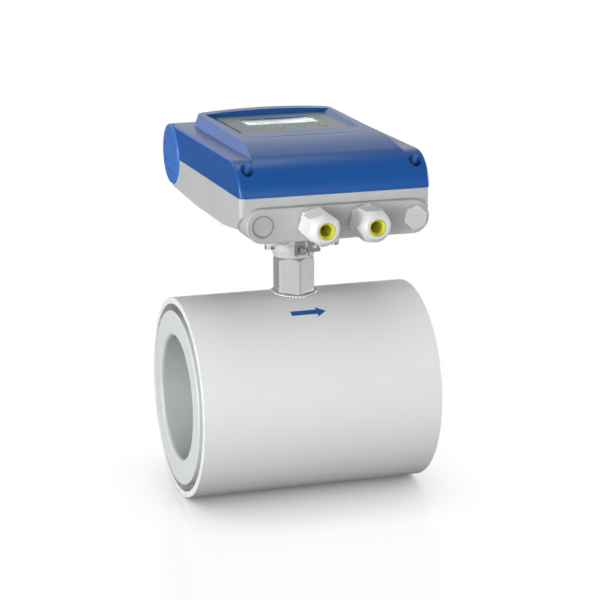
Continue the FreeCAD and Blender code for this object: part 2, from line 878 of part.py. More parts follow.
def make_earth_clamp():
    """Folded sheet under the earthing screw: two cheeks and a side tab with a hole for a lug."""
    body = new_body("earth_clamp")
    back = s.plate_half_y
    left, right = s.earth_x - s.earth_block_half, s.earth_x + s.earth_block_half
    low = s.earth_block_base + 0.3
    tab = s.earth_x + s.earth_tab_reach
    pad(body, "XZ", -back, -back - s.earth_sheet,
        chain((left, low), (right, low), (right, s.earth_z), (right + s.earth_slit, s.earth_z),
              (right + s.earth_slit, low + 2), (tab - 1.2, low + 2), (tab, low + 3.4),
              (tab - 3.4, plate_top - 1.6), (right + s.earth_slit, plate_top - 1.6),
              (right, plate_top - 0.5), (left, plate_top - 0.5)),
        circle(s.earth_x, s.earth_z, s.earth_screw_radius + 0.3),
        circle((right + s.earth_slit + tab) / 2 - 0.6, s.earth_z + 2, s.earth_tab_hole))
    for side, edge in ((1, left), (-1, right)):
        pad(body, "XZ", -back, -back - s.earth_sheet - s.earth_cheek,
            rectangle(*sorted((edge, edge + side * s.earth_sheet), key=lambda size: size.number),
                      low, plate_top - 0.5))


def make_earth_screw():
    body = new_body("earth_screw")
    seat = s.plate_half_y + s.earth_sheet + 0.15
    face = seat + s.earth_screw_head_depth
    tip = seat - s.earth_screw_length + 0.5
    turned(body, "Y",
           (-face, 0), (-face, s.earth_screw_head - 1, s.earth_screw_head_depth),
           (-seat - 0.6, s.earth_screw_head), (-seat, s.earth_screw_head),
           (-seat, s.earth_screw_radius), (-tip, s.earth_screw_radius), (-tip, 0))
    cross = s.earth_screw_head - 1.4
    for wide, tall in ((cross, as_size(0.5)), (as_size(0.5), cross)):
        pocket(body, "XZ", -face, -face + 1.6, rectangle(-wide, wide, -tall, tall))
    shifted(body, x=s.earth_x, z=s.earth_z)


# ---- converter housing ------------------------------------------------------------------------

hinge_cap_radius = s.shoulder_top - s.hinge_z
cup_radius = hinge_cap_radius + s.moving_gap
cup_front = s.hinge_y - leg(cup_radius, s.hinge_z - s.seam)
rear_rib_back = cup_front - s.rear_rib_inset
rear_rib_front = rear_rib_back - s.rear_rib_depth
cavity_half = s.housing_half_width - s.rim_wall
cavity_front = s.housing_front - s.rim_wall
cavity_back = cup_front - s.rear_wall
cavity_floor = s.housing_sill + s.housing_wall
belly_floor = s.housing_floor + s.housing_wall
pad_front = -s.entry_pad_front
entry_outer_x = s.housing_half_width - s.entry_side
entry_inner_x = entry_outer_x / 3
entry_xs = [-entry_outer_x, -entry_inner_x, entry_inner_x, entry_outer_x]
corner_post_x = s.housing_half_width - s.corner_post_side
screw_x = s.housing_half_width - s.screw_side
board_half = s.housing_half_width - s.board_side
ear_outer = s.housing_half_width - s.hinge_cap_sunk
ear_face = ear_outer - s.cover_wall
knuckle_outer = ear_face - s.moving_gap * 2
knuckle_inner = knuckle_outer - s.knuckle_length
board_corners = [(x, y) for x in (-1, 1) for y in (-s.board_front + s.board_inset,
                                                   s.board_back - s.board_inset)]


def corner_path(reach):
    """The ring round the housing's opening, inside the two cover screws, grown by reach."""
    side = s.housing_half_width - s.rim_wall / 2 + reach
    back = (rear_rib_front + rear_rib_back) / 2 + reach
    front = s.housing_front - s.rim_wall / 2 + reach
    post_x = corner_post_x + s.rim_wall / 2 + reach
    post_y = s.corner_post_y + s.rim_wall / 2 + reach
    right = [(post_x, -front), (post_x, -post_y), (side, -post_y), (side, back)]
    return right + [(-x, y) for x, y in reversed(right)]


def make_base_housing():
    body = new_body("base_housing")
    half = s.housing_half_width
    pad(body, "YZ", -half, half,
        chain((-s.housing_front, s.seam), (-s.housing_front, s.housing_slope_top),
              (-s.housing_front + s.housing_slope_depth, s.housing_sill),
              (-s.belly_front, s.housing_floor), (s.belly_back, s.housing_floor),
              (s.hinge_y, s.housing_tail), (s.hinge_y, s.hinge_z - cup_radius, -cup_radius),
              (cup_front, s.seam)))
    fillet(body, s.housing_corner,
           lambda edge: along(edge, "z") and near(edge.CenterOfMass.y, -s.housing_front))
    pad(body, "XZ", pad_front, -s.entry_pad_back,
        slot(entry_outer_x, s.entry_z, s.entry_pad_radius))
    fillet(body, 1.2, lambda edge: near(edge.BoundBox.YMin, pad_front)
           and near(edge.BoundBox.YMax, pad_front))
    pad(body, "XY", s.seam - s.rim_band, s.seam,
        rectangle(-half + s.housing_corner, half - s.housing_corner,
                  -s.housing_front - s.rim_band_proud, -s.housing_front + 1))
    lofted("AdditiveLoft", body, "XY", [
        (foot_base, rectangle(-s.foot_half_x, s.foot_half_x, -s.foot_half_y, s.foot_half_y)),
        (s.housing_floor + 1, rectangle(-s.foot_top_half_x, s.foot_top_half_x,
                                        -s.foot_top_half_y, s.foot_top_half_y))])
    fillet(body, s.foot_corner, lambda edge: near(edge.BoundBox.ZMin, foot_base)
           and edge.BoundBox.ZMax > s.housing_floor.number - 1)
    post_x, post_y = corner_post_x, s.corner_post_y
    pocket(body, "XY", s.seam, cavity_floor,
           chain((post_x, -cavity_front), (post_x, -post_y), (cavity_half, -post_y),
                 (cavity_half, cavity_back), (-cavity_half, cavity_back),
                 (-cavity_half, -post_y), (-post_x, -post_y), (-post_x, -cavity_front)))
    sump_back = cavity_back - s.housing_wall
    pocket(body, "YZ", -cavity_half, cavity_half,
           chain((-s.entry_pad_back, cavity_floor + 1), (-s.belly_front + 2, belly_floor),
                 (s.belly_back, belly_floor), (sump_back, belly_floor + 1.6),
                 (sump_back, cavity_floor + 1)))
    pocket(body, "XZ", -cavity_front, -s.entry_pad_back - s.housing_wall,
           slot(entry_outer_x, s.entry_z, s.entry_pad_radius - s.housing_wall))
    pocket(body, "XZ", pad_front, -cavity_front,
           circle(entry_xs[0], s.entry_z, s.round_plug + s.round_plug_groove),
           *[circle(x, s.entry_z, s.entry_hole) for x in entry_xs[1:3]],
           circle(entry_xs[3], s.entry_z, s.hex_plug_hole))
    foot_x, foot_y = s.foot_half_x - s.foot_wall, s.foot_half_y - s.foot_wall
    inner_x, inner_y = s.plate_screw_x - 7, s.plate_screw_y - 7
    pocket(body, "XY", cavity_floor, foot_base + s.foot_wall,
           chain((inner_x, -foot_y), (inner_x, -inner_y), (foot_x, -inner_y),
                 (foot_x, inner_y), (inner_x, inner_y), (inner_x, foot_y),
                 (-inner_x, foot_y), (-inner_x, inner_y), (-foot_x, inner_y),
                 (-foot_x, -inner_y), (-inner_x, -inner_y), (-inner_x, -foot_y)))
    pocket(body, "XY", foot_base + s.foot_wall, foot_base, circle(0, 0, s.stem_radius))
    for x, y in plate_corners:
        pocket(body, "XY", foot_base, foot_base + s.plate_screw_grip + 2,
               circle(x * s.plate_screw_x, y * s.plate_screw_y, s.plate_screw_radius))
    for side in (-1, 1):
        pocket(body, "XY", s.seam, s.seam - s.screw_grip - 4,
               circle(side * screw_x, -s.screw_y, s.screw_shank + s.screw_thread_play))
        pad(body, "YZ", side * knuckle_inner, side * knuckle_outer,
            chain((cup_front - 2, s.hinge_z - s.knuckle_drop), (s.hinge_y, s.hinge_z - s.knuckle_drop),
                  (s.hinge_y, s.seam), (cup_front - 2, s.seam)))
        pad(body, "YZ", side * knuckle_inner, side * knuckle_outer,
            circle(s.hinge_y, s.hinge_z, s.knuckle_radius))
        pocket(body, "YZ", side * knuckle_outer, side * knuckle_inner,
               circle(s.hinge_y, s.hinge_z, s.hinge_pin))
    for side, y in board_corners:
        pad(body, "XY", belly_floor - 1, s.board_base,
            circle(side * (board_half - s.board_inset), y, s.board_post))
        pocket(body, "XY", s.board_base, s.board_base - 4,
               circle(side * (board_half - s.board_inset), y, s.board_screw))
    pocket(body, "XY", s.seam, s.seam - s.groove_depth,
           chain(*corner_path(s.groove_width / 2)), chain(*corner_path(-s.groove_width / 2)))


def make_cover_gasket():
    body = new_body("cover_gasket")
    pad(body, "XY", s.seam - s.groove_depth, s.seam + s.seam_gap,
        chain(*corner_path(s.groove_width / 2)), chain(*corner_path(-s.groove_width / 2)))


def make_hinge_pin(label, side):
    body = new_body(label)
    end = ear_outer - 0.3
    turned(body, "X",
           (side * knuckle_inner, 0), (side * knuckle_inner, s.hinge_pin),
           (side * (end - 0.6), s.hinge_pin), (side * end, s.hinge_pin - 0.6), (side * end, 0))
    shifted(body, y=s.hinge_y, z=s.hinge_z)


# ---- cover ------------------------------------------------------------------------------------

cover_base = s.seam + s.seam_gap
cover_side = s.housing_half_width - s.cover_wall
barrel_bore = hinge_cap_radius - s.cover_wall
crown_half = s.housing_half_width - s.crown_side
crown_foot_half = crown_half + s.crown_flare
recess_half = crown_half - s.recess_rim
display_board_half = recess_half + s.display_board_side
recess_wall = s.recess_floor - s.recess_floor_depth
shoulder_inside = s.shoulder_top - s.cover_wall
display_board_top = recess_wall - s.display_module_depth
SECTOR = (math.cos(math.radians(35)), math.sin(math.radians(35)))


def crown_section(top, rise):
    """The raised middle from in front: flared flanks and a crowned top."""
    half, foot = crown_half, crown_foot_half
    bend = (half * half + rise * rise) / (rise * 2)
    return chain((-foot, s.slope_end_z), (foot, s.slope_end_z), (foot, s.shoulder_top),
                 (half, top, bend), (-half, top), (-foot, s.shoulder_top))


def above_slope():
    """What lies over the falling front of the raised middle, seen from the side."""
    sky, ahead = s.crown_back_top + 30, -s.cover_front - 20
    return chain((-s.crown_front_y, s.crown_front_top, s.slope_radius),
                 (-s.slope_break_y, s.slope_break_top, s.slope_nose_radius),
                 (-s.slope_end_y, s.slope_end_z), (ahead, s.slope_end_z),
                 (ahead, sky), (-s.crown_front_y, sky))


def make_cover_shell():
    body = new_body("cover_shell")
    half = s.housing_half_width
    across, down = SECTOR
    axis_y, axis_z = s.hinge_y, s.hinge_z
    pad(body, "YZ", -half, half,
        chain((-s.cover_front, cover_base, -s.nose_radius),
              (-s.cover_front + s.nose_radius, s.shoulder_top),
              (axis_y, s.shoulder_top, -hinge_cap_radius),
              (axis_y + hinge_cap_radius * across, axis_z - hinge_cap_radius * down),
              (axis_y, axis_z), (axis_y, cover_base)))
    fillet(body, s.cover_edge, lambda edge: near(abs(edge.CenterOfMass.x), half)
           and edge.CenterOfMass.y < s.crown_back.number
           and edge.CenterOfMass.z > s.slope_end_z.number)
    lofted("AdditiveLoft", body, "XZ", [
        (s.crown_back, crown_section(s.crown_back_top, s.crown_rise)),
        (-s.crown_front_y, crown_section(s.crown_front_top, as_size(0.2)))])
    fillet(body, s.crown_corner, lambda edge: near(edge.BoundBox.YMin, s.crown_back)
           and near(edge.BoundBox.YMax, s.crown_back)
           and near(edge.BoundBox.ZMin, s.shoulder_top) and edge.BoundBox.ZLength > 5)
    pad(body, "XZ", -s.crown_front_y, -s.slope_end_y,
        crown_section(s.crown_front_top, as_size(0.2)))
    pocket(body, "YZ", -half - 1, half + 1, above_slope())
    make_cover_hollow(body)
    for side in (-1, 1):
        pad(body, "YZ", side * ear_face, side * ear_outer,
            circle(axis_y, axis_z, hinge_cap_radius - 0.3))
        pocket(body, "YZ", side * (half + 1), side * ear_outer,
               circle(axis_y, axis_z, hinge_cap_radius + s.hinge_cap_gap))
        pocket(body, "YZ", side * half, side * ear_face,
               circle(axis_y, axis_z, s.hinge_pin + s.hinge_pin_play))
        pocket(body, "XY", s.shoulder_top + 1, s.screw_seat,
               circle(side * screw_x, -s.screw_y, s.screw_well))
        pocket(body, "XY", s.screw_seat, cover_base,
               circle(side * screw_x, -s.screw_y, s.screw_shank + 0.4))
    make_display_recess(body)


def make_cover_hollow(body):
    """Two pockets, the narrow one between the screw corners, and the tunnel for the hinge."""
    front, high, back = s.cover_front - s.cover_wall, shoulder_inside, rear_rib_front
    nose = s.nose_radius - s.cover_wall
    pocket(body, "YZ", -corner_post_x, corner_post_x,
           chain((-front, cover_base, -nose), (-front + nose, high), (back, high),
                 (back, cover_base)))
    pocket(body, "YZ", -cover_side, cover_side,
           rectangle(-s.corner_post_y, back, cover_base, high))
    pocket(body, "XY", high, recess_wall,
           rectangle(-crown_half + 4, crown_half - 4, -s.crown_front_y - 10, rear_rib_back - 0.8))
    across, down = SECTOR
    axis_y, axis_z = s.hinge_y, s.hinge_z
    start, low = rear_rib_back, axis_z - 20
    pocket(body, "YZ", -ear_face, ear_face,
           chain((start, low), (start, high), (axis_y, high, -barrel_bore),
                 (axis_y + barrel_bore * across, axis_z - barrel_bore * down),
                 (axis_y + barrel_bore * across, low)))


def make_display_recess(body):
    flare = s.recess_flare
    top = s.crown_back_top + 4
    rise = top - s.recess_floor
    lofted("SubtractiveLoft", body, "XY", [
        (s.recess_floor, rectangle(-recess_half, recess_half, -s.recess_front, s.recess_back)),
        (top, rectangle(-recess_half - rise * flare, recess_half + rise * flare,
                        -s.recess_front - rise * 3, s.recess_back + rise * 0.3))])
    pocket(body, "XY", s.recess_floor, recess_wall,
           rectangle(-s.window_half, s.window_half, s.window_front, s.window_back),
           *[circle(x, s.key_y, s.key_radius + 0.3) for x in key_xs])
    for side in (-1, 1):
        for y in (s.display_board_back - 4, -s.display_board_front + 4):
            pad(body, "XY", recess_wall + 0.5, display_board_top,
                circle(side * (display_board_half - 4), y, s.display_post_radius))
            pocket(body, "XY", display_board_top, recess_wall - 1,
                   circle(side * (display_board_half - 4), y, s.board_screw))


def make_hinge_cap(label, side):
    """A disc that closes the end of the hinge barrel, with a ring of dimples."""
    body = new_body(label)
    inner, outer = side * ear_outer, side * (s.housing_half_width + s.hinge_cap_proud)
    lip, edge = hinge_cap_radius, s.hinge_cap_proud
    turned(body, "X",
           (inner, 0), (inner, lip), (outer - side * edge, lip, -side * edge), (outer, lip - edge),
           (outer, 0))
    ring, turn = s.hinge_cap_dot_ring, math.radians(25)
    dimple = pocket(body, "YZ", outer, outer - side * s.hinge_cap_dot_depth,
                    circle(ring * math.cos(turn), ring * math.sin(turn), s.hinge_cap_dot))
    repeated(body, [dimple], "X", 8)
    shifted(body, y=s.hinge_y, z=s.hinge_z)


def make_cover_screw(label, side):
    """A captive screw with a cross-recessed head, sunk in its well."""
    body = new_body(label)
    seat = s.screw_seat + s.seam_gap
    head = seat + s.screw_head_depth
    tip = s.seam - s.screw_grip
    turned(body, "Z",
           (0, tip), (s.screw_shank - 0.5, tip), (s.screw_shank, tip + 0.5),
           (s.screw_shank, seat), (s.screw_head, seat), (s.screw_head, head - 0.6),
           (s.screw_head - 0.6, head), (0, head))
    for wide, tall in ((as_size(3), as_size(0.6)), (as_size(0.6), as_size(3))):
        pocket(body, "XY", head, head - 2, rectangle(-wide, wide, -tall, tall))
    shifted(body, x=side * screw_x, y=-s.screw_y)


# ---- display ----------------------------------------------------------------------------------

key_xs = [step * s.key_pitch for step in (-1.5, -0.5, 0.5, 1.5)]
foil_top = s.recess_floor + s.foil_depth
window_base = foil_top - s.window_depth


def make_display_panel():
    body = new_body("display_panel")
    edge = 0.1
    pad(body, "XY", s.recess_floor, foil_top,
        rectangle(-recess_half + edge, recess_half - edge,
                  -s.recess_front + edge, s.recess_back - edge),
        rectangle(-s.window_half, s.window_half, s.window_front, s.window_back),
        *[circle(x, s.key_y, s.key_radius + 0.3) for x in key_xs])


def make_display_window():
    body = new_body("display_window")
    pad(body, "XY", window_base, foil_top,
        rectangle(-s.window_half, s.window_half, s.window_front, s.window_back))


def make_display_module():
    """The liquid crystal module: a frame with the glass that stands up into the window."""
    body = new_body("display_module")
    reach, play = s.display_module_margin, s.window_play
    half = s.window_half + s.display_module_side
    top = recess_wall
    pad(body, "XY", top - s.display_module_depth, top,
        rectangle(-half, half, s.window_front - reach, s.window_back + reach))
    fillet(body, 1, lambda edge: along(edge, "z"))
    pad(body, "XY", top, window_base - play,
        rectangle(-s.window_half + play, s.window_half - play,
                  s.window_front + play, s.window_back - play))


def make_display_board():
    body = new_body("display_board")
    top, half = display_board_top, display_board_half
    pad(body, "XY", top - s.board_depth, top,
        rectangle(-half, half, -s.display_board_front, s.display_board_back))
    fillet(body, 2, lambda edge: along(edge, "z"))
    for side in (-1, 1):
        for y in (s.display_board_back - 4, -s.display_board_front + 4):
            pocket(body, "XY", top, top - s.board_depth,
                   circle(side * (half - 4), y, s.board_screw + 0.1))


def make_key_switches():
    members = []
    for index, x in enumerate(key_xs):
        body = new_body("key_switch_%d" % (index + 1), keep=False)
        low, half = display_board_top, s.switch_half
        pad(body, "XY", low, low + s.switch_depth, rectangle(-half, half, -half, half))
        chamfer(body, 0.5, lambda edge: along(edge, "z"))
        shifted(body, x=x, y=s.key_y)
        members.append(body)
    group("key_switches", members)


def make_key(label, x):
    """A round key with a flange that stops it under the recess floor and a stem on its switch."""
    body = new_body(label)
    flange = recess_wall - 0.3
    foot = display_board_top + s.switch_depth + s.key_travel + 0.05
    top = foil_top + s.key_proud
    turned(body, "Z",
           (0, foot), (s.key_stem, foot), (s.key_stem, flange - s.key_flange_depth),
           (s.key_flange, flange - s.key_flange_depth), (s.key_flange, flange),
           (s.key_radius, flange), (s.key_radius, top - 0.3), (s.key_radius - 0.3, top), (0, top))
    shifted(body, x=x, y=s.key_y)


def make_display_screws():
    members = []
    low = display_board_top - s.board_depth
    under = low - s.display_screw_head_depth
    for x in (-1, 1):
        for y in (s.display_board_back - 4, -s.display_board_front + 4):
            body = new_body("display_screw_%d" % (len(members) + 1), keep=False)
            turned(body, "Z",
                   (0, under), (s.board_screw_head, under), (s.board_screw_head, low),
                   (s.board_screw, low), (s.board_screw, low + s.display_screw_length),
                   (0, low + s.display_screw_length))
            shifted(body, x=x * (display_board_half - 4), y=y)
            members.append(body)
    group("display_screws", members)


# ---- cable entries ----------------------------------------------------------------------------

gland_seat = s.entry_pad_front + s.gland_gasket_depth
gland_flange = gland_seat + s.gland_flange_depth
gland_nut_back = gland_flange + s.gland_gap
gland_thread = s.entry_hole


def make_gland(name, x, turn, nut_turn):
    """Body, sealing insert and dome nut of one cable gland."""
    body = new_body("gland_body_" + name)
    tail_end = gland_flange + s.gland_tail_length
    pad(body, "XZ", -gland_seat, -gland_flange, hexagon(as_size(0), as_size(0), s.gland_hex, turn))
    chamfer(body, 0.5, lambda edge: near(edge.BoundBox.YMin, -gland_flange)
            and near(edge.BoundBox.YMax, -gland_flange))
    pad(body, "XZ", -gland_seat, -s.entry_pad_front + s.gland_thread_length,
        circle(0, 0, gland_thread))
    pad(body, "XZ", -gland_flange, -tail_end, circle(0, 0, s.gland_tail))
    pocket(body, "XZ", -s.entry_pad_front + s.gland_thread_length, -tail_end,
           circle(0, 0, s.gland_bore))
    seal_back = s.gland_face - s.gland_seal_length
    pocket(body, "XZ", -tail_end, -seal_back, circle(0, 0, s.gland_seal_radius))
    shifted(body, x=x, z=s.entry_z)

    seal = new_body("gland_seal_" + name)
    face = s.gland_face - 0.4
    inner, outer = s.gland_seal_bore, s.gland_seal_radius
    turned(seal, "Y",
           (-seal_back, inner), (-seal_back, outer), (-face, outer), (-face, s.gland_seal_mouth),
           (-face + s.gland_seal_cone, inner))
    shifted(seal, x=x, z=s.entry_z)

    nut = new_body("gland_nut_" + name)
    back, face = gland_nut_back, s.gland_face
    corner = s.gland_hex * (2 / math.sqrt(3))
    shoulder, sky = back + s.gland_nut_straight, corner + 2
    pad(nut, "XZ", -back, -face, hexagon(as_size(0), as_size(0), s.gland_hex, nut_turn))
    grooved(nut, "Y", (-shoulder, corner + 0.3, s.gland_dome_bend),
            (-face + 0.7, s.gland_nose + 0.5), (-face, s.gland_nose - 0.2),
            (-face - 1, s.gland_nose - 0.2), (-face - 1, sky), (-shoulder, sky))
    grooved(nut, "Y", (-back - 1, corner + 0.2), (-back + 1, corner - 1.8), (-back + 1, sky),
            (-back - 1, sky))
    pocket(nut, "XZ", -back, -tail_end - 0.3, circle(0, 0, s.gland_tail + s.entry_clearance))
    pocket(nut, "XZ", -back, -face, circle(0, 0, s.gland_seal_radius + 0.3))
    shifted(nut, x=x, z=s.entry_z)


def make_gland_gaskets():
    members = []
    for index, x in enumerate((-entry_inner_x, entry_inner_x)):
        body = new_body("gland_gasket_%d" % (index + 1), keep=False)
        pad(body, "XZ", -s.entry_pad_front, -gland_seat,
            circle(0, 0, s.gland_hex), circle(0, 0, gland_thread))
        shifted(body, x=x, z=s.entry_z)
        members.append(body)
    group("gland_gaskets", members)


def make_round_plug():
    body = new_body("round_plug")
    face = s.entry_pad_front - s.round_plug_sunk
    neck = face - s.round_plug_groove_depth
    wide = s.round_plug + s.round_plug_groove
    turned(body, "Y",
           (-face, 0), (-face, s.round_plug - 1), (-face + 1, s.round_plug),
           (-neck, s.round_plug), (-neck, wide), (-cavity_front, wide), (-cavity_front, 0))
    shifted(body, x=-entry_outer_x, z=s.entry_z)


def make_hex_plug():
    body = new_body("hex_plug")
    seat = s.entry_pad_front + 0.2
    face = s.entry_pad_front + s.hex_plug_reach
    shank = s.hex_plug_hole - s.entry_clearance
    pad(body, "XZ", -seat, -face, hexagon(as_size(0), as_size(0), s.hex_plug, 18))
    chamfer(body, 0.6, lambda edge: near(edge.BoundBox.YMin, -face)
            and near(edge.BoundBox.YMax, -face))
    pad(body, "XZ", -seat, -seat + s.gland_thread_length, circle(0, 0, shank))
    pocket(body, "XZ", -seat + s.gland_thread_length, -seat - 1, circle(0, 0, shank - 2.5))
    shifted(body, x=entry_outer_x, z=s.entry_z)


# ---- electronics ------------------------------------------------------------------------------

board_top = s.board_base + s.board_depth


def make_main_board():
    body = new_body("main_board")
    pad(body, "XY", s.board_base, board_top,
        rectangle(-board_half, board_half, -s.board_front, s.board_back))
    fillet(body, 2, lambda edge: along(edge, "z"))
    for side, y in board_corners:
        pocket(body, "XY", board_top, s.board_base,
               circle(side * (board_half - s.board_inset), y, s.board_screw + 0.1))


def make_board_screws():
    members = []
    for side, y in board_corners:
        body = new_body("board_screw_%d" % (len(members) + 1), keep=False)
        low = s.board_base - s.board_screw_length
        head = board_top + s.board_screw_head_depth
        turned(body, "Z",
               (0, low), (s.board_screw, low), (s.board_screw, board_top),
               (s.board_screw_head, board_top), (s.board_screw_head, head), (0, head))
        shifted(body, x=side * (board_half - s.board_inset), y=y)
        members.append(body)
    group("board_screws", members)


def make_terminal_block(label, x, poles):
    """A row of screw terminals: a wire hole in front and a screw well on top of each pole."""
    body = new_body(label)
    pitch = s.terminal_pitch
    half = pitch * poles / 2
    low, high = board_top, board_top + s.terminal_height
    front, back = -s.terminal_front, -s.terminal_front + s.terminal_depth
    pad(body, "YZ", -half, half,
        chain((front, low), (back, low), (back, high - 2), (back - 2, high), (front + 3, high),
              (front, high - 4)))
    places = [(step - (poles - 1) / 2) * pitch for step in range(poles)]
    pocket(body, "XZ", front, front + 5,
           *[rectangle(at - 1.6, at + 1.6, low + 1.2, low + 4.6) for at in places])
    pocket(body, "XY", high, high - 3, *[circle(at, back - 4.8, 1.7) for at in places])
    shifted(body, x=x)


def make_power_supply():
    """The potted supply on the board, with a rounded case."""
    body = new_body("power_supply")
    right = board_half - s.supply_inset
    top = board_top + s.supply_height
    pad(body, "XY", board_top, top,
        rectangle(right - s.supply_length, right, -s.supply_front, -s.supply_front + s.supply_width))
    fillet(body, 2, lambda edge: along(edge, "z"))
    fillet(body, 0.8, lambda edge: near(edge.BoundBox.ZMin, top))


def make_capacitors():
    members = []
    radius, top = s.capacitor_radius, board_top + s.capacitor_height
    for index, (across, back) in enumerate(((0, 0), (0, 1), (1, 0))):
        body = new_body("capacitor_%d" % (index + 1), keep=False)
        turned(body, "Z",
               (0, board_top), (radius, board_top), (radius, board_top + 1.5),
               (radius - 0.4, board_top + 2.2), (radius, board_top + 2.9), (radius, top - 0.8),
               (radius - 0.8, top), (0, top))
        shifted(body, x=-board_half + s.capacitor_inset + across * s.capacitor_pitch,
                y=-s.capacitor_front + back * s.capacitor_pitch)
        members.append(body)
    group("capacitors", members)


def make_processor_chips():
    """Four chips: the place of each on the board, and its size beside the usual one."""
    members = []
    places = ((-0.1, -0.27, 1.4), (-0.52, 0.14, 1.0), (-0.14, 0.3, 0.8), (0.34, 0.38, 1.2))
    for index, (across, back, scale) in enumerate(places):
        body = new_body("chip_%d" % (index + 1), keep=False)
        half = s.chip_half * scale
        pad(body, "XY", board_top, board_top + s.chip_depth, rectangle(-half, half, -half, half))
        chamfer(body, 0.4, lambda edge: along(edge, "z"))
        shifted(body, x=board_half * across, y=s.board_front * back)
        members.append(body)
    group("processor_chips", members)


# ---- the whole meter --------------------------------------------------------------------------

make_sensor_housing()
make_end_disc("end_disc_inlet", -1)
make_end_disc("end_disc_outlet", 1)
make_measuring_tube()
make_liner()
make_pole_pieces()
make_coil("field_coil_upper", 1)
make_coil("field_coil_lower", -1)
make_return_yoke()
make_electrodes()
make_neck_tube()
make_neck_flange()
make_neck_seal()
make_flange_screws()
make_earth_clamp()
make_earth_screw()
make_base_housing()
make_cover_gasket()
make_cover_shell()
for side_name, side_sign in (("left", -1), ("right", 1)):
    make_hinge_pin("hinge_pin_" + side_name, side_sign)
    make_hinge_cap("hinge_cap_" + side_name, side_sign)
    make_cover_screw("cover_screw_" + side_name, side_sign)
make_display_panel()
make_display_window()
make_display_module()
make_display_board()
make_display_screws()
make_key_switches()
for key_name, key_x in zip(("next", "enter", "down", "up"), key_xs):
    make_key("key_" + key_name, key_x)
make_gland("left", -entry_inner_x, 14, 22)
make_gland("right", entry_inner_x, 16, 2)
make_gland_gaskets()
make_round_plug()
make_hex_plug()
make_main_board()
make_board_screws()
make_terminal_block("power_terminals", board_half - s.power_terminal_inset, 3)
make_terminal_block("signal_terminals", -board_half + s.signal_terminal_inset, 10)
make_power_supply()
make_capacitors()
make_processor_chips()
doc.recompute()


def check_document():
    """Stop before anything is written if an object failed or a cut removed nothing."""
    for item in doc.Objects:
        if "Invalid" in item.State or "Error" in item.State:
            raise RuntimeError("%s failed: %s" % (item.Label, item.State))
        if item.TypeId in ("PartDesign::Pocket", "PartDesign::Groove", "PartDesign::SubtractiveLoft"):
            if item.Shape.Volume > item.BaseFeature.Shape.Volume - 1e-3:
                raise RuntimeError("%s cuts nothing" % item.Label)
    for node in nodes:
        if node.Shape.isNull() or not node.Shape.isValid() or not node.Shape.Solids:
            raise RuntimeError("%s has no valid solid" % node.Label)


check_document()
os.makedirs("parts", exist_ok=True)
for node in nodes:
    node.Shape.exportStep("parts/%s.step" % node.Label)
print("wrote %d nodes, %d solids" % (len(nodes), sum(len(node.Shape.Solids) for node in nodes)))
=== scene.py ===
import math
import bmesh
import bpy
from mathutils import Matrix, Vector


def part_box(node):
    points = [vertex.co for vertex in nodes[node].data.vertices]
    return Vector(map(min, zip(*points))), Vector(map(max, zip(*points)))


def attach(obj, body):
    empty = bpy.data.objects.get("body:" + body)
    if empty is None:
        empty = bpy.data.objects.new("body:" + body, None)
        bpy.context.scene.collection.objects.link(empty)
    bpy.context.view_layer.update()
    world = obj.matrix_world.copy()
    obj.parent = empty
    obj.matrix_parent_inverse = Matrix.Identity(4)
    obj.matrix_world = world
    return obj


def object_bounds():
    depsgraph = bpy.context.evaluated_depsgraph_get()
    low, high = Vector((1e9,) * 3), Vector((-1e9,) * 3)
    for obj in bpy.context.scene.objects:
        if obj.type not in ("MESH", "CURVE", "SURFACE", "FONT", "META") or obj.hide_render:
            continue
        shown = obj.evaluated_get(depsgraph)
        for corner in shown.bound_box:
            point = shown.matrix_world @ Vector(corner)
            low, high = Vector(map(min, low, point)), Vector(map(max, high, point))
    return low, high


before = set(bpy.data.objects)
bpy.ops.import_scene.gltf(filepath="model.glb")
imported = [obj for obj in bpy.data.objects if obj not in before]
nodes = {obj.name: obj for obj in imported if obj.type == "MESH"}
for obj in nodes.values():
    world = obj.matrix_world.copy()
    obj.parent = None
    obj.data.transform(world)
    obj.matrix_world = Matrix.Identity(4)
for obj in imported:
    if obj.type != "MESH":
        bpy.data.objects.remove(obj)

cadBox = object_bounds()
floorHeight = cadBox[0][2]
print("frame loaded,", len(nodes), "nodes")


# small helpers for node trees

def addNode(tree, kind, values=None, **settings):
    node = tree.nodes.new(kind)
    for key, value in settings.items():
        setattr(node, key, value)
    for key, value in (values or {}).items():
        node.inputs[key].default_value = value
    return node


def remap(tree, fromLow, fromHigh, toLow=0.0, toHigh=1.0, **settings):
    values = {1: fromLow, 2: fromHigh, 3: toLow, 4: toHigh}
    return addNode(tree, "ShaderNodeMapRange", values, **settings)


def makeGroup(name, inputs, outputs):
    group = bpy.data.node_groups.new(name, "ShaderNodeTree")
    for label, kind, default in inputs:
        socket = group.interface.new_socket(name=label, in_out="INPUT", socket_type=kind)
        socket.default_value = default
    for label, kind in outputs:
        group.interface.new_socket(name=label, in_out="OUTPUT", socket_type=kind)
    start = group.nodes.new("NodeGroupInput")
    end = group.nodes.new("NodeGroupOutput")
    return group, start, end


noiseSpan = (0.3, 0.7)  # nearly all that a noise node gives lies between these
pitScale = 0.6  # pits are coarser than the grain


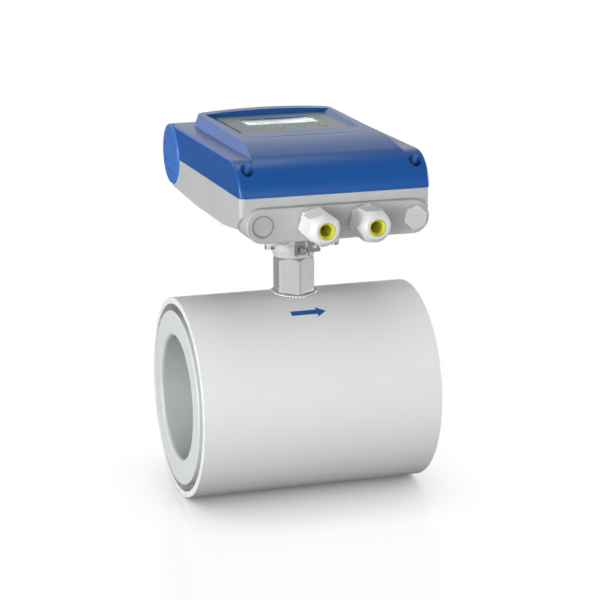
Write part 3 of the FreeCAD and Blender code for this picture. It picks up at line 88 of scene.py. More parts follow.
# cast and powder-coated surfaces: a fine grain for the bump and a slow mottling for the colour
def buildGrainGroup():
    group, start, end = makeGroup("coatGrain", [
        ("Grain Size", "NodeSocketFloat", 900.0),
        ("Mottle Size", "NodeSocketFloat", 14.0),
        ("Pit Depth", "NodeSocketFloat", 0.3)], [
        ("Height", "NodeSocketFloat"), ("Mottle", "NodeSocketFloat")])
    place = addNode(group, "ShaderNodeTexCoord")
    fine = addNode(group, "ShaderNodeTexNoise", {"Detail": 3.0, "Roughness": 0.6})
    pits = addNode(group, "ShaderNodeTexVoronoi", feature="F1")
    broad = addNode(group, "ShaderNodeTexNoise", {"Detail": 4.0, "Roughness": 0.55})
    pitSize = addNode(group, "ShaderNodeMath", {1: pitScale}, operation="MULTIPLY")
    pitShare = addNode(group, "ShaderNodeMath", operation="MULTIPLY")
    height = addNode(group, "ShaderNodeMath", operation="ADD")
    spread = remap(group, *noiseSpan)
    links = group.links
    for texture in (fine, pits, broad):
        links.new(place.outputs["Object"], texture.inputs["Vector"])
    links.new(start.outputs["Grain Size"], fine.inputs["Scale"])
    links.new(start.outputs["Grain Size"], pitSize.inputs[0])
    links.new(pitSize.outputs[0], pits.inputs["Scale"])
    links.new(start.outputs["Mottle Size"], broad.inputs["Scale"])
    links.new(pits.outputs["Distance"], pitShare.inputs[0])
    links.new(start.outputs["Pit Depth"], pitShare.inputs[1])
    links.new(fine.outputs["Fac"], height.inputs[0])
    links.new(pitShare.outputs[0], height.inputs[1])
    links.new(broad.outputs["Fac"], spread.inputs[0])
    links.new(height.outputs[0], end.inputs["Height"])
    links.new(spread.outputs[0], end.inputs["Mottle"])
    return group


# handled surfaces: long faint smudges that only change the gloss
def buildSmudgeGroup():
    group, start, end = makeGroup("handling", [
        ("Size", "NodeSocketFloat", 9.0),
        ("Low", "NodeSocketFloat", 0.35),
        ("High", "NodeSocketFloat", 0.5)], [
        ("Gloss", "NodeSocketFloat")])
    place = addNode(group, "ShaderNodeTexCoord")
    smear = addNode(group, "ShaderNodeMapping", {
        "Scale": (1.0, 1.0, 2.6), "Rotation": (0.3, 0.5, 0.2)})
    cloud = addNode(group, "ShaderNodeTexNoise", {
        "Detail": 5.0, "Roughness": 0.62, "Distortion": 0.6})
    gloss = remap(group, *noiseSpan)
    links = group.links
    links.new(place.outputs["Object"], smear.inputs["Vector"])
    links.new(smear.outputs["Vector"], cloud.inputs["Vector"])
    links.new(start.outputs["Size"], cloud.inputs["Scale"])
    links.new(cloud.outputs["Fac"], gloss.inputs[0])
    links.new(start.outputs["Low"], gloss.inputs[3])
    links.new(start.outputs["High"], gloss.inputs[4])
    links.new(gloss.outputs[0], end.inputs["Gloss"])
    return group


# turned and drawn metal: fine lines that run round or along one axis
def buildLineGroup():
    group, start, end = makeGroup("toolLines", [
        ("Stretch", "NodeSocketVector", (1.0, 1.0, 1.0)),
        ("Line Size", "NodeSocketFloat", 400.0)], [
        ("Height", "NodeSocketFloat"), ("Tone", "NodeSocketFloat")])
    place = addNode(group, "ShaderNodeTexCoord")
    stretch = addNode(group, "ShaderNodeVectorMath", operation="MULTIPLY")
    lines = addNode(group, "ShaderNodeTexNoise", {"Detail": 6.0, "Roughness": 0.7})
    tone = remap(group, *noiseSpan)
    links = group.links
    links.new(place.outputs["Object"], stretch.inputs[0])
    links.new(start.outputs["Stretch"], stretch.inputs[1])
    links.new(stretch.outputs[0], lines.inputs["Vector"])
    links.new(start.outputs["Line Size"], lines.inputs["Scale"])
    links.new(lines.outputs["Fac"], tone.inputs[0])
    links.new(lines.outputs["Fac"], end.inputs["Height"])
    links.new(tone.outputs[0], end.inputs["Tone"])
    return group


coatGrain = buildGrainGroup()
handling = buildSmudgeGroup()
toolLines = buildLineGroup()
print("shader groups ready")


def placeGroup(tree, group, values):
    node = tree.nodes.new("ShaderNodeGroup")
    node.node_tree = group
    for key, value in values.items():
        node.inputs[key].default_value = value
    return node


def blankMaterial(name):
    material = bpy.data.materials.new(name)
    material.use_nodes = True
    tree = material.node_tree
    return material, tree, tree.nodes["Principled BSDF"]


def mixColours(tree, factor, first, second):
    mix = addNode(tree, "ShaderNodeMix", data_type="RGBA")
    mix.inputs[6].default_value = (*first, 1)
    mix.inputs[7].default_value = (*second, 1)
    tree.links.new(factor, mix.inputs[0])
    return mix.outputs[2]


# painted shade: the liner within the given radius of the axis, the wall of the bore, is darkened to
# stand in for the shade inside the tube
def paintBoreShade(tree, colour, inner):
    radius, blur = inner["radius"], inner["blur"]
    place = tree.nodes.new("ShaderNodeTexCoord")
    across = addNode(tree, "ShaderNodeVectorMath", {1: (0.0, 1.0, 1.0)}, operation="MULTIPLY")
    reach = addNode(tree, "ShaderNodeVectorMath", operation="LENGTH")
    tone = remap(tree, radius - blur, radius + blur, inner["share"])
    scaled = addNode(tree, "ShaderNodeVectorMath", operation="SCALE")
    links = tree.links
    links.new(place.outputs["Object"], across.inputs[0])
    links.new(across.outputs[0], reach.inputs[0])
    links.new(reach.outputs["Value"], tone.inputs[0])
    links.new(colour, scaled.inputs[0])
    links.new(tone.outputs[0], scaled.inputs["Scale"])
    return scaled.outputs[0]


def addSmudges(tree, shader, look):
    low, high = look["gloss"]
    touch = placeGroup(tree, handling, {"Size": look["smudgeSize"], "Low": low, "High": high})
    tree.links.new(touch.outputs["Gloss"], shader.inputs["Roughness"])


def addBump(tree, shader, height, look):
    bump = addNode(tree, "ShaderNodeBump", {"Strength": look["bump"], "Distance": look["relief"]})
    tree.links.new(height, bump.inputs["Height"])
    tree.links.new(bump.outputs["Normal"], shader.inputs["Normal"])


# a coated or moulded surface: two tones, a grain, a gloss that varies, and constant shader values
coatDefaults = {"mottleSize": 14.0, "smudgeSize": 9.0, "pits": 0.3, "relief": 0.00004, "fixed": {}}


def coatedMaterial(name, look):
    look = {**coatDefaults, **look}
    material, tree, shader = blankMaterial(name)
    grain = placeGroup(tree, coatGrain, {
        "Grain Size": look["grainSize"], "Mottle Size": look["mottleSize"],
        "Pit Depth": look["pits"]})
    colour = mixColours(tree, grain.outputs["Mottle"], look["colour"], look["shade"])
    # painted shade darkens the bore
    if "inner" in look:
        colour = paintBoreShade(tree, colour, look["inner"])
    tree.links.new(colour, shader.inputs["Base Color"])
    addSmudges(tree, shader, look)
    if "bump" in look:
        addBump(tree, shader, grain.outputs["Height"], look)
    for socket, value in look["fixed"].items():
        shader.inputs[socket].default_value = value
    return material


# bare metal with tool lines
metalDefaults = {"smudgeSize": 20.0, "relief": 0.00003}


def turnedMetal(name, look):
    look = {**metalDefaults, **look}
    material, tree, shader = blankMaterial(name)
    lines = placeGroup(tree, toolLines, {"Stretch": look["stretch"], "Line Size": look["lineSize"]})
    colour = mixColours(tree, lines.outputs["Tone"], look["colour"], look["shade"])
    tree.links.new(colour, shader.inputs["Base Color"])
    addSmudges(tree, shader, look)
    addBump(tree, shader, lines.outputs["Height"], look)
    shader.inputs["Metallic"].default_value = 1.0
    return material


finishes = {
    "blastedSteel": {
        "colour": (0.86, 0.87, 0.88), "shade": (0.835, 0.845, 0.855),
        "grainSize": 1500.0, "mottleSize": 9.0, "bump": 0.12, "gloss": (0.5, 0.58),
        "fixed": {"Specular IOR Level": 0.25}},
    "neckSteel": {
        "colour": (0.46, 0.47, 0.47), "shade": (0.42, 0.43, 0.43),
        "grainSize": 1300.0, "mottleSize": 30.0, "bump": 0.2, "gloss": (0.36, 0.44),
        "fixed": {"Metallic": 0.45}},
    "linerWhite": {
        "colour": (0.8, 0.825, 0.835), "shade": (0.775, 0.8, 0.81),
        "grainSize": 500.0, "bump": 0.06, "gloss": (0.3, 0.38),
        # painted shade that darkens the wall of the bore
        "inner": {"radius": 0.0525, "blur": 0.001, "share": 0.7},
        "fixed": {"Subsurface Weight": 0.06, "Subsurface Radius": (0.004, 0.004, 0.004)}},
    "coverBlue": {
        "colour": (0.012, 0.1, 0.385), "shade": (0.01, 0.092, 0.36),
        "grainSize": 1100.0, "mottleSize": 11.0, "gloss": (0.28, 0.32),
        "fixed": {"Specular IOR Level": 0.5, "Specular Tint": (0.78, 0.92, 1.0, 1.0)}},
    # lighter blue than the cover: partly the caps' own tone, partly painted light raised to
    # brighten their side-facing faces
    "capBlueWithPaintedLight": {
        "colour": (0.05, 0.19, 0.6), "shade": (0.044, 0.178, 0.57),
        "grainSize": 800.0, "bump": 0.18, "gloss": (0.3, 0.38),
        "fixed": {"Specular IOR Level": 0.45}},
    "castGrey": {
        "colour": (0.555, 0.56, 0.565), "shade": (0.525, 0.53, 0.535),
        "grainSize": 900.0, "mottleSize": 18.0, "bump": 0.3, "gloss": (0.4, 0.5),
        "fixed": {"Specular IOR Level": 0.3}},
    "nylonWhite": {
        "colour": (0.8, 0.805, 0.8), "shade": (0.82, 0.825, 0.82),
        "grainSize": 700.0, "bump": 0.1, "gloss": (0.32, 0.42),
        "fixed": {"Subsurface Weight": 0.05, "Subsurface Radius": (0.002, 0.002, 0.002)}},
    "sealYellow": {
        "colour": (0.78, 0.77, 0.06), "shade": (0.7, 0.7, 0.045),
        "grainSize": 600.0, "bump": 0.2, "gloss": (0.5, 0.62)},
    "gasketBlack": {
        "colour": (0.02, 0.02, 0.022), "shade": (0.03, 0.03, 0.03),
        "grainSize": 900.0, "bump": 0.4, "gloss": (0.6, 0.75)},
    "plugGrey": {
        "colour": (0.535, 0.54, 0.545), "shade": (0.51, 0.515, 0.52),
        "grainSize": 800.0, "bump": 0.15, "gloss": (0.4, 0.5)},
    "panelFoil": {
        "colour": (0.27, 0.335, 0.32), "shade": (0.255, 0.32, 0.305),
        "grainSize": 1600.0, "bump": 0.12, "gloss": (0.34, 0.42),
        "fixed": {"Specular IOR Level": 0.3}},
    "displayGlass": {
        "colour": (0.44, 0.6, 0.575), "shade": (0.42, 0.575, 0.55),
        "grainSize": 1800.0, "bump": 0.04, "gloss": (0.16, 0.22)},
    "displayGhost": {
        "colour": (0.39, 0.54, 0.52), "shade": (0.37, 0.52, 0.5),
        "grainSize": 1800.0, "bump": 0.04, "gloss": (0.16, 0.22)},
    "keyGrey": {
        "colour": (0.27, 0.335, 0.32), "shade": (0.255, 0.32, 0.305),
        "grainSize": 1200.0, "bump": 0.2, "gloss": (0.4, 0.5),
        "fixed": {"Specular IOR Level": 0.3}},
    "printPale": {
        "colour": (0.8, 0.84, 0.82), "shade": (0.58, 0.62, 0.6),
        "grainSize": 1500.0, "bump": 0.1, "gloss": (0.4, 0.5)},
    "printBlue": {
        "colour": (0.012, 0.1, 0.38), "shade": (0.016, 0.12, 0.42),
        "grainSize": 1500.0, "bump": 0.1, "gloss": (0.35, 0.45)},
    "weldSteel": {
        "colour": (0.62, 0.625, 0.62), "shade": (0.46, 0.455, 0.44),
        "grainSize": 900.0, "mottleSize": 160.0, "bump": 0.5, "gloss": (0.24, 0.36),
        "fixed": {"Metallic": 0.5}},
    # black for the terminal wells and wire holes: painted shade
    "paintedHoleShade": {
        "colour": (0.012, 0.012, 0.013), "shade": (0.02, 0.02, 0.02),
        "grainSize": 900.0, "bump": 0.3, "gloss": (0.6, 0.75)},
    "boardGreen": {
        "colour": (0.01, 0.11, 0.045), "shade": (0.006, 0.07, 0.03),
        "grainSize": 260.0, "mottleSize": 160.0, "bump": 0.25, "gloss": (0.22, 0.34)},
    "chipBlack": {
        "colour": (0.018, 0.018, 0.02), "shade": (0.028, 0.028, 0.03),
        "grainSize": 1400.0, "bump": 0.25, "gloss": (0.42, 0.55)},
    "terminalGreen": {
        "colour": (0.03, 0.22, 0.07), "shade": (0.025, 0.19, 0.06),
        "grainSize": 900.0, "bump": 0.12, "gloss": (0.35, 0.45)},
    "sleeveDark": {
        "colour": (0.02, 0.022, 0.04), "shade": (0.03, 0.033, 0.055),
        "grainSize": 500.0, "bump": 0.08, "gloss": (0.2, 0.3)},
    "castIron": {
        "colour": (0.12, 0.12, 0.125), "shade": (0.09, 0.09, 0.095),
        "grainSize": 500.0, "bump": 0.5, "gloss": (0.5, 0.62),
        "fixed": {"Metallic": 0.7}},
    "windowClear": {
        "colour": (0.86, 0.92, 0.9), "shade": (0.9, 0.94, 0.93),
        "grainSize": 700.0, "mottleSize": 20.0, "smudgeSize": 30.0, "gloss": (0.05, 0.16),
        "fixed": {"Transmission Weight": 1.0, "IOR": 1.2, "Specular IOR Level": 0.0}},
}

metals = {
    "innerSteel": {
        "colour": (0.6, 0.6, 0.61), "shade": (0.5, 0.5, 0.51),
        "stretch": (6.0, 0.5, 0.5), "lineSize": 160.0,
        "bump": 0.25, "gloss": (0.25, 0.38)},
    "screwSteel": {
        "colour": (0.64, 0.63, 0.61), "shade": (0.52, 0.51, 0.5),
        "stretch": (1.0, 1.0, 1.0), "lineSize": 900.0,
        "bump": 0.2, "gloss": (0.22, 0.34)},
    "copperWinding": {
        "colour": (0.62, 0.25, 0.1), "shade": (0.42, 0.15, 0.05),
        "stretch": (0.3, 0.3, 9.0), "lineSize": 130.0,
        "bump": 0.9, "gloss": (0.25, 0.35)},
}

materials = {name: coatedMaterial(name, look) for name, look in finishes.items()}
materials.update({name: turnedMetal(name, look) for name, look in metals.items()})
print("materials ready:", len(materials))


dressing = {
    "blastedSteel": ["sensor_housing"],
    "neckSteel": ["neck_tube"],
    "linerWhite": ["liner", "electrode_sleeves"],
    "innerSteel": ["end_disc_inlet", "end_disc_outlet", "measuring_tube"],
    "castIron": ["pole_pieces", "return_yoke"],
    "copperWinding": ["field_coil_upper", "field_coil_lower"],
    "castGrey": ["base_housing", "neck_flange"],
    "gasketBlack": ["cover_gasket", "neck_seal", "gland_gaskets"],
    "screwSteel": [
        "flange_screws", "earth_screw", "earth_clamp", "hinge_pin_left", "hinge_pin_right",
        "cover_screw_left", "cover_screw_right", "board_screws", "display_screws",
        "electrodes", "electrode_nuts"],
    "coverBlue": ["cover_shell"],
    "capBlueWithPaintedLight": ["hinge_cap_left", "hinge_cap_right"],
    "panelFoil": ["display_panel"],
    "windowClear": ["display_window"],
    "displayGlass": ["display_module"],
    "boardGreen": ["main_board", "display_board"],
    "chipBlack": ["key_switches", "processor_chips", "power_supply"],
    "keyGrey": ["key_next", "key_enter", "key_down", "key_up"],
    "nylonWhite": [
        "gland_body_left", "gland_body_right", "gland_nut_left", "gland_nut_right", "hex_plug"],
    "sealYellow": ["gland_seal_left", "gland_seal_right"],
    "plugGrey": ["round_plug"],
    "terminalGreen": ["signal_terminals", "power_terminals"],
    "sleeveDark": ["capacitors"],
}

for finish, members in dressing.items():
    for member in members:
        mesh = nodes[member].data
        mesh.materials.clear()
        mesh.materials.append(materials[finish])
print("nodes dressed")


# small helpers for the pieces

def newPiece(name, mesh, finish, body):
    piece = bpy.data.objects.new(name, mesh)
    bpy.context.scene.collection.objects.link(piece)
    mesh.materials.append(materials[finish])
    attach(piece, body)
    return piece


def finishMesh(name, mesh):
    bmesh.ops.recalc_face_normals(mesh, faces=mesh.faces)
    data = bpy.data.meshes.new(name)
    mesh.to_mesh(data)
    mesh.free()
    return data


# flat shapes with a small thickness: printed marks, segments, screw heads
def plates(mesh, outlines, low, high):
    for outline in outlines:
        rings = [[mesh.verts.new((x, y, z)) for x, y in outline] for z in (low, high)]
        mesh.faces.new(rings[0][::-1])
        mesh.faces.new(rings[1])
        for step in range(len(outline)):
            after = (step + 1) % len(outline)
            mesh.faces.new((rings[0][step], rings[0][after], rings[1][after], rings[1][step]))


def middleOf(node):
    low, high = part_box(node)
    return (low[0] + high[0]) / 2, (low[1] + high[1]) / 2


def polar(centre, radius, turn):
    return centre[0] + radius * math.cos(turn), centre[1] + radius * math.sin(turn)


# the printed flow arrow follows the curve of the shell; angles are in degrees from its front
flowArrow = {"lift": 0.00007, "tail": -0.0144, "neck": 0.0073, "tip": 0.0151, "middleAngle": 62.05,
             "shaftHalf": 1.85, "headHalf": 3.95, "tipHalf": 0.01, "steps": 6, "merge": 0.00002}


def buildFlowArrow(spec):
    low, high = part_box("sensor_housing")
    radius = (high[2] - low[2]) / 2 + spec["lift"]
    mesh = bmesh.new()

    def spot(x, angle):
        turn = math.radians(angle)
        return mesh.verts.new((x, -radius * math.cos(turn), radius * math.sin(turn)))

    def strip(startX, endX, startHalf, endHalf):
        rows = []
        for step in range(spec["steps"] + 1):
            side = step / spec["steps"] * 2 - 1
            rows.append((spot(startX, spec["middleAngle"] + side * startHalf),
                         spot(endX, spec["middleAngle"] + side * endHalf)))
        for first, second in zip(rows, rows[1:]):
            mesh.faces.new((first[0], first[1], second[1], second[0]))

    strip(spec["tail"], spec["neck"], spec["shaftHalf"], spec["shaftHalf"])
    strip(spec["neck"], spec["tip"], spec["headHalf"], spec["tipHalf"])
    bmesh.ops.remove_doubles(mesh, verts=mesh.verts, dist=spec["merge"])
    return finishMesh("flow_arrow", mesh)


newPiece("flow_arrow", buildFlowArrow(flowArrow), "printBlue", "meter")
print("flow arrow printed")


def stroke(start, end, width):
    along = Vector((end[0] - start[0], end[1] - start[1])).normalized() * (width / 2)
    side = Vector((-along.y, along.x))
    first, last = Vector(start) - along, Vector(end) + along
    return [tuple(first - side), tuple(last - side), tuple(last + side), tuple(first + side)]


# pale signs on the four keys: forward, enter, down and up; strokes and width in millimetres
keySigns = {
    "lift": 0.00003, "depth": 0.00006, "stagger": 0.000003, "width": 0.95,
    "strokes": {
        "key_next": [((-0.9, 1.9), (0.9, 0.0)), ((-0.9, -1.9), (0.9, 0.0))],
        "key_enter": [((1.9, 1.5), (1.9, -0.6)), ((1.9, -0.6), (-1.9, -0.6)),
                      ((-1.9, -0.6), (-0.7, 0.6)), ((-1.9, -0.6), (-0.7, -1.8))],
        "key_down": [((0.0, 2.1), (0.0, -2.1)), ((0.0, -2.1), (-1.4, -0.6)),
                     ((0.0, -2.1), (1.4, -0.6))],
        "key_up": [((0.0, -2.1), (0.0, 2.1)), ((0.0, 2.1), (-1.4, 0.6)),
                   ((0.0, 2.1), (1.4, 0.6))],
    },
}


def buildKeySign(key, spec):
    middle = middleOf(key)
    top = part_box(key)[1][2]
    mesh = bmesh.new()
    for step, (start, end) in enumerate(spec["strokes"][key]):
        outline = [(middle[0] + x / 1000, middle[1] + y / 1000)
                   for x, y in stroke(start, end, spec["width"])]
        base = top + spec["lift"] + step * spec["stagger"]
        plates(mesh, [outline], base, base + spec["depth"])
    return finishMesh(key + "_sign", mesh)


for key in keySigns["strokes"]:
    newPiece(key + "_sign", buildKeySign(key, keySigns), "printPale", key)


# printed frame round the window, and thin rings round the keys
panelPrint = {"frame": 0.0009, "gap": 0.00025, "lift": 0.00002, "depth": 0.00004,
              "ringRadius": 0.0058, "ringWidth": 0.0003, "ringSteps": 48}


def cornersRound(low, high, reach):
    return [(low[0] - reach, low[1] - reach), (high[0] + reach, low[1] - reach),
            (high[0] + reach, high[1] + reach), (low[0] - reach, high[1] + reach)]


def buildPanelPrint(spec):
    low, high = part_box("display_window")
    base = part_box("display_panel")[1][2] + spec["lift"]
    mesh = bmesh.new()
    outlines = []
    inside = cornersRound(low, high, spec["gap"])
    outside = cornersRound(low, high, spec["gap"] + spec["frame"])
    for step in range(4):
        after = (step + 1) % 4
        outlines.append([inside[step], outside[step], outside[after], inside[after]])
    near, far = spec["ringRadius"], spec["ringRadius"] + spec["ringWidth"]
    for key in keySigns["strokes"]:
        middle = middleOf(key)
        for step in range(spec["ringSteps"]):
            first, last = [math.tau * (step + more) / spec["ringSteps"] for more in (0, 1)]
            outlines.append([polar(middle, near, first), polar(middle, far, first),
                             polar(middle, far, last), polar(middle, near, last)])
    plates(mesh, outlines, base, base + spec["depth"])
    return finishMesh("panel_print", mesh)


newPiece("panel_print", buildPanelPrint(panelPrint), "printPale", "cover")


# unlit segments of the display, in two rows of digits
segmentLook = {
    "lift": 0.00002, "depth": 0.00004, "lean": 0.12, "barShare": 0.16, "gapShare": 0.62,
    "rows": [{"count": 8, "wide": 0.0042, "tall": 0.0086, "pitch": 0.0068, "up": 0.0046},
             {"count": 11, "wide": 0.0028, "tall": 0.0056, "pitch": 0.0049, "up": -0.0072}],
}


def buildSegments(look):
    middle = middleOf("display_window")
    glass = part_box("display_module")[1][2] + look["lift"]
    mesh = bmesh.new()
    for row in look["rows"]:
        wide, tall = row["wide"] / 2, row["tall"] / 2
        bar = row["wide"] * look["barShare"]
        gap = bar * look["gapShare"]
        bars = [((-wide, tall), (wide, tall)), ((-wide, 0), (wide, 0)),
                ((-wide, -tall), (wide, -tall)),
                ((-wide, tall), (-wide, 0)), ((wide, tall), (wide, 0)),
                ((-wide, 0), (-wide, -tall)), ((wide, 0), (wide, -tall))]
        for column in range(row["count"]):
            x = middle[0] + (column - (row["count"] - 1) / 2) * row["pitch"]
            y = middle[1] + row["up"]
            for start, end in bars:
                along = (Vector(end) - Vector(start)).normalized() * gap
                first, last = Vector(start) + along, Vector(end) - along
                cross = Vector((-along.y, along.x)).normalized() * (bar / 2)
                point = along.normalized() * (bar / 2)
                outline = [first, first + point - cross, last - point - cross, last,
                           last - point + cross, first + point + cross]
                leaning = [(x + spot.x + spot.y * look["lean"], y + spot.y) for spot in outline]
                plates(mesh, [leaning], glass, glass + look["depth"])
    return finishMesh("display_segments", mesh)


newPiece("display_segments", buildSegments(segmentLook), "displayGhost", "cover")
print("panel printed")


# weld bead where the neck meets the shell: it follows the hexagon and the curve of the shell
weldBead = {"reach": 0.0162, "round": 0.6, "radius": 0.0024, "lift": 0.0001, "flatten": 0.8,
            "ripples": 46, "ripple": 0.12, "lumps": 5, "lump": 0.05, "lumpStart": 1,
            "steps": 276, "sides": 10}


def hexagonReach(angle, flat, share):
    wedge = math.radians(60)
    turned = (angle + wedge / 2) % wedge - wedge / 2
    return flat * ((1 - share) / math.cos(turned) + share)


def buildWeld(spec):
    low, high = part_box("sensor_housing")
    shell = (high[2] - low[2]) / 2
    mesh = bmesh.new()
    rings = []
    for step in range(spec["steps"]):
        angle = math.tau * step / spec["steps"]
        x, y = polar((0, 0), hexagonReach(angle, spec["reach"], spec["round"]), angle)
        centre = Vector((x, y, math.sqrt(shell * shell - y * y) + spec["lift"]))
        outward = Vector((math.cos(angle), math.sin(angle), 0))
        phase = step * spec["ripples"] / spec["steps"]
        lump = spec["lump"] * math.sin(angle * spec["lumps"] + spec["lumpStart"])
        size = spec["radius"] * (1 + spec["ripple"] * math.sin(math.tau * phase) + lump)
        ring = []
        for side in range(spec["sides"]):
            turn = math.tau * side / spec["sides"]
            upward = Vector((0, 0, spec["flatten"] * size * math.sin(turn)))
            ring.append(mesh.verts.new(centre + outward * (size * math.cos(turn)) + upward))
        rings.append(ring)
    for step, ring in enumerate(rings):
        after = rings[(step + 1) % len(rings)]
        for side in range(spec["sides"]):
            other = (side + 1) % spec["sides"]
            face = mesh.faces.new((ring[side], after[side], after[other], ring[other]))
            face.smooth = True
    return finishMesh("neck_weld", mesh)


newPiece("neck_weld", buildWeld(weldBead), "weldSteel", "meter")


# screws and wire funnels of the terminal blocks; the black discs round the screws and the black
# floors of the funnels are painted shade of the wells and wire holes
terminalLook = {
    "head": 0.0018, "sink": 0.0004, "proud": 0.00012, "slot": 0.00045, "slotEnd": 0.7,
    "rimShare": 1.14, "rimProud": 0.00004, "sides": 20, "back": 0.0036,
    "funnel": 0.0016, "funnelUp": 0.0032, "funnelProud": 0.00015,
    "lip": [(1.0, 0.0), (0.94, 0.00006), (0.86, 0.0)],  # share of the radius, and how proud
    "floorShare": 0.7, "floorProud": 0.00002,
    "blocks": {"signal_terminals": 10, "power_terminals": 3},
}


def addScrewHead(mesh, x, y, low, high, look):
    for side in (-1, 1):
        half = []
        last = look["sides"] // 2
        for step in range(last + 1):
            turn = math.pi * step / last
            inset = look["slotEnd"] if step in (0, last) else 1
            edge = side * max(look["head"] * math.sin(turn), look["slot"] / 2)
            half.append((x + look["head"] * math.cos(turn) * inset, y + edge))
        plates(mesh, [half], low, high)


def addWireMouth(mesh, x, z, front, look):
    face = front - look["funnelProud"]
    profile = [(look["funnel"] * share, face - proud) for share, proud in look["lip"]]
    profile.append((look["funnel"] * look["floorShare"], front - look["floorProud"]))
    rings = []
    for radius, depth in profile:
        spots = [polar((x, z), radius, math.tau * step / look["sides"])
                 for step in range(look["sides"])]
        rings.append([mesh.verts.new((across, depth, up)) for across, up in spots])
    for first, second in zip(rings, rings[1:]):
        for step in range(look["sides"]):
            after = (step + 1) % look["sides"]
            mesh.faces.new((first[step], first[after], second[after], second[step]))
    mesh.faces.new(rings[-1])


def buildTerminalScrews(block, count, look):
    low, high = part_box(block)
    pitch = (high[0] - low[0]) / count
    screws, wellAndHoleShade = bmesh.new(), bmesh.new()
    for pole in range(count):
        x, y = low[0] + (pole + 0.5) * pitch, high[1] - look["back"]
        bottom = high[2] - look["sink"]
        # black disc round the screw: painted shade of its well
        rim = [polar((x, y), look["head"] * look["rimShare"], math.tau * step / look["sides"])
               for step in range(look["sides"])]
        plates(wellAndHoleShade, [rim], bottom, high[2] + look["rimProud"])
        addScrewHead(screws, x, y, bottom, high[2] + look["proud"], look)
        # black funnel: painted shade of the wire hole
        addWireMouth(wellAndHoleShade, x, low[2] + look["funnelUp"], low[1], look)
    newPiece(block + "_screws", finishMesh(block + "_screws", screws),
             "screwSteel", "meter")
    newPiece(block + "_painted_hole_shade", finishMesh(block + "_painted_hole_shade", wellAndHoleShade),
             "paintedHoleShade", "meter")


for block, count in terminalLook["blocks"].items():
    buildTerminalScrews(block, count, terminalLook)
print("weld and terminals made")


# camera at a three-quarter view, angles in degrees
cameraView = {"place": (-0.52991, -1.70093, 0.50868), "heading": 17.467, "tilt": 13.711,
              "roll": -0.372, "lens": 133.548, "sensorWidth": 36}


def placeCamera(view):
    data = bpy.data.cameras.new("camera")
    data.lens = view["lens"]
    data.sensor_width = view["sensorWidth"]
    camera = bpy.data.objects.new("camera", data)
    bpy.context.scene.collection.objects.link(camera)
    camera.matrix_world = (Matrix.Translation(view["place"])
                           @ Matrix.Rotation(math.radians(-view["heading"]), 4, "Z")
                           @ Matrix.Rotation(math.radians(90 - view["tilt"]), 4, "X")
                           @ Matrix.Rotation(math.radians(view["roll"]), 4, "Z"))
    bpy.context.scene.camera = camera


placeCamera(cameraView)


# white acrylic floor that keeps a soft contact shadow and a faint mirror image; away from the
# meter it fades to plain white, and lamps and reflections meet it as a dull grey
floorLook = {"size": 12.0, "grey": 0.2, "mirror": 0.06, "mirrorRoughness": 0.18,
             "reach": 0.085, "samples": 12, "open": 0.93, "softness": 0.55, "contact": 0.08,
             "clearFrom": 0.36, "clearTo": 0.6}


def buildFloor(look):
    half = look["size"] / 2
    mesh = bpy.data.meshes.new("floor")
    mesh.from_pydata([(-half, -half, floorHeight), (half, -half, floorHeight),
                      (half, half, floorHeight), (-half, half, floorHeight)], [], [(0, 1, 2, 3)])
    floor = bpy.data.objects.new("floor", mesh)
    bpy.context.scene.collection.objects.link(floor)
    material = bpy.data.materials.new("floorAcrylic")
    material.use_nodes = True
    tree = material.node_tree
    tree.nodes.clear()
    white = (1, 1, 1, 1)
    out = tree.nodes.new("ShaderNodeOutputMaterial")
    dull = addNode(tree, "ShaderNodeBsdfDiffuse", {
        "Color": (look["grey"], look["grey"], look["grey"], 1)})
    near = addNode(tree, "ShaderNodeAmbientOcclusion", {"Distance": look["reach"]},
                   samples=look["samples"])
    soft = addNode(tree, "ShaderNodeMath", {1: look["softness"]}, operation="POWER")
    depth = remap(tree, 0.0, look["open"], look["contact"])
    glow = addNode(tree, "ShaderNodeEmission", {"Color": white})
    mirror = addNode(tree, "ShaderNodeBsdfGlossy", {
        "Color": white, "Roughness": look["mirrorRoughness"]})
    sheen = addNode(tree, "ShaderNodeMixShader", {0: look["mirror"]})
    plain = addNode(tree, "ShaderNodeEmission", {"Color": white, "Strength": 1.0})
    spot = tree.nodes.new("ShaderNodeTexCoord")
    reach = addNode(tree, "ShaderNodeVectorMath", operation="LENGTH")
    clear = remap(tree, look["clearFrom"], look["clearTo"], interpolation_type="SMOOTHSTEP")
    fade = tree.nodes.new("ShaderNodeMixShader")
    path = tree.nodes.new("ShaderNodeLightPath")
    shown = tree.nodes.new("ShaderNodeMixShader")
    links = tree.links
    links.new(near.outputs["AO"], soft.inputs[0])
    links.new(soft.outputs[0], depth.inputs[0])
    links.new(depth.outputs[0], glow.inputs["Strength"])
    links.new(glow.outputs[0], sheen.inputs[1])
    links.new(mirror.outputs[0], sheen.inputs[2])
    links.new(spot.outputs["Object"], reach.inputs[0])
    links.new(reach.outputs["Value"], clear.inputs[0])
    links.new(clear.outputs[0], fade.inputs[0])
    links.new(sheen.outputs[0], fade.inputs[1])
    links.new(plain.outputs[0], fade.inputs[2])
    links.new(path.outputs["Is Camera Ray"], shown.inputs[0])
    links.new(dull.outputs[0], shown.inputs[1])
    links.new(fade.outputs[0], shown.inputs[2])
    links.new(shown.outputs[0], out.inputs["Surface"])
    mesh.materials.append(material)


buildFloor(floorLook)


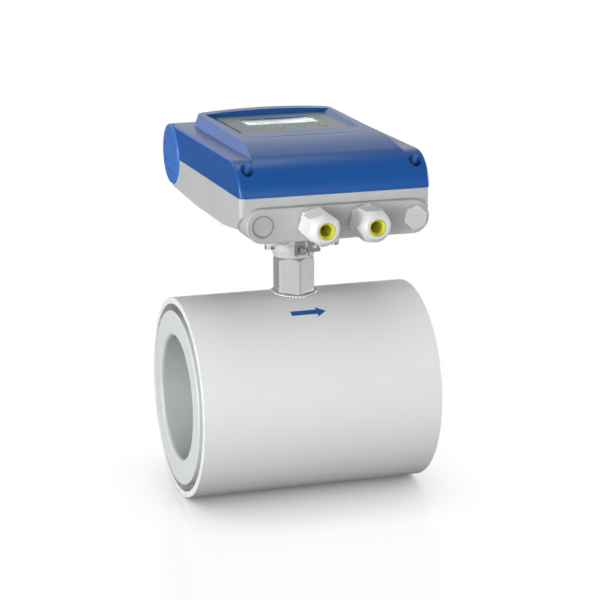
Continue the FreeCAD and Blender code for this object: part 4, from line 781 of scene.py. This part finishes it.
# studio: broad soft lights low on all four sides and a weak one above
studio = {
    "lamps": {
        "frontLight": {"place": (-0.77, -2.44, 0.22), "aim": (0, 0, 0.07), "size": (2.6, 0.8),
                       "power": 39.0, "mirrored": True},
        "leftLight": {"place": (-2.2, -0.55, 0.3), "aim": (0, 0, 0.07), "size": (1.8, 0.7),
                      "power": 44.0, "mirrored": True},
        "rightLight": {"place": (2.2, -0.6, 0.38), "aim": (0, 0, 0.07), "size": (1.2, 0.8),
                       "power": 30.0, "mirrored": True},
        "backLight": {"place": (0.5, 2.3, 0.25), "aim": (0, 0, 0.07), "size": (1.8, 0.8),
                      "power": 24.0, "mirrored": False},
        "topLight": {"place": (0.05, 0.45, 2.0), "aim": (0, 0, 0.1), "size": (0.9, 0.9),
                     "power": 9.0, "mirrored": True},
    },
    "room": 0.08,
    "ahead": 0.2, "behind": 1.0,  # the walls that gloss mirrors, before and behind the meter
    "aheadTo": 0.52, "behindFrom": 0.76,
}


def addSoftLight(name, light):
    data = bpy.data.lights.new(name, "AREA")
    data.shape = "RECTANGLE"
    data.size, data.size_y = light["size"]
    data.energy = light["power"]
    lamp = bpy.data.objects.new(name, data)
    bpy.context.scene.collection.objects.link(lamp)
    lamp.location = light["place"]
    lamp.visible_glossy = light["mirrored"]
    aim = Vector(light["aim"]) - Vector(light["place"])
    lamp.rotation_euler = aim.to_track_quat("-Z", "Y").to_euler()


for name, light in studio["lamps"].items():
    addSoftLight(name, light)


# the room: white to the camera and through clear plastic, walls for gloss, else a faint fill
def buildRoom(look):
    world = bpy.data.worlds.new("room")
    bpy.context.scene.world = world
    world.use_nodes = True
    tree = world.node_tree
    tree.nodes.clear()
    shade = (1, 1, 1, 1)
    out = tree.nodes.new("ShaderNodeOutputWorld")
    plain = addNode(tree, "ShaderNodeBackground", {"Color": shade, "Strength": look["room"]})
    white = addNode(tree, "ShaderNodeBackground", {"Color": shade, "Strength": 1.0})
    walls = addNode(tree, "ShaderNodeBackground", {"Color": shade})
    place = tree.nodes.new("ShaderNodeTexCoord")
    split = tree.nodes.new("ShaderNodeSeparateXYZ")
    depth = remap(tree, look["aheadTo"], look["behindFrom"], look["ahead"], look["behind"],
                  interpolation_type="SMOOTHSTEP")
    path = tree.nodes.new("ShaderNodeLightPath")
    clear = addNode(tree, "ShaderNodeMath", operation="MAXIMUM")
    glossy = tree.nodes.new("ShaderNodeMixShader")
    mix = tree.nodes.new("ShaderNodeMixShader")
    links = tree.links
    links.new(place.outputs["Generated"], split.inputs[0])
    links.new(split.outputs["Y"], depth.inputs[0])
    links.new(depth.outputs[0], walls.inputs["Strength"])
    links.new(path.outputs["Is Glossy Ray"], glossy.inputs[0])
    links.new(plain.outputs[0], glossy.inputs[1])
    links.new(walls.outputs[0], glossy.inputs[2])
    links.new(path.outputs["Is Camera Ray"], clear.inputs[0])
    links.new(path.outputs["Is Transmission Ray"], clear.inputs[1])
    links.new(clear.outputs[0], mix.inputs[0])
    links.new(glossy.outputs[0], mix.inputs[1])
    links.new(white.outputs[0], mix.inputs[2])
    links.new(mix.outputs[0], out.inputs["Surface"])


buildRoom(studio)
bpy.context.scene.view_settings.view_transform = "Standard"
print("studio ready")
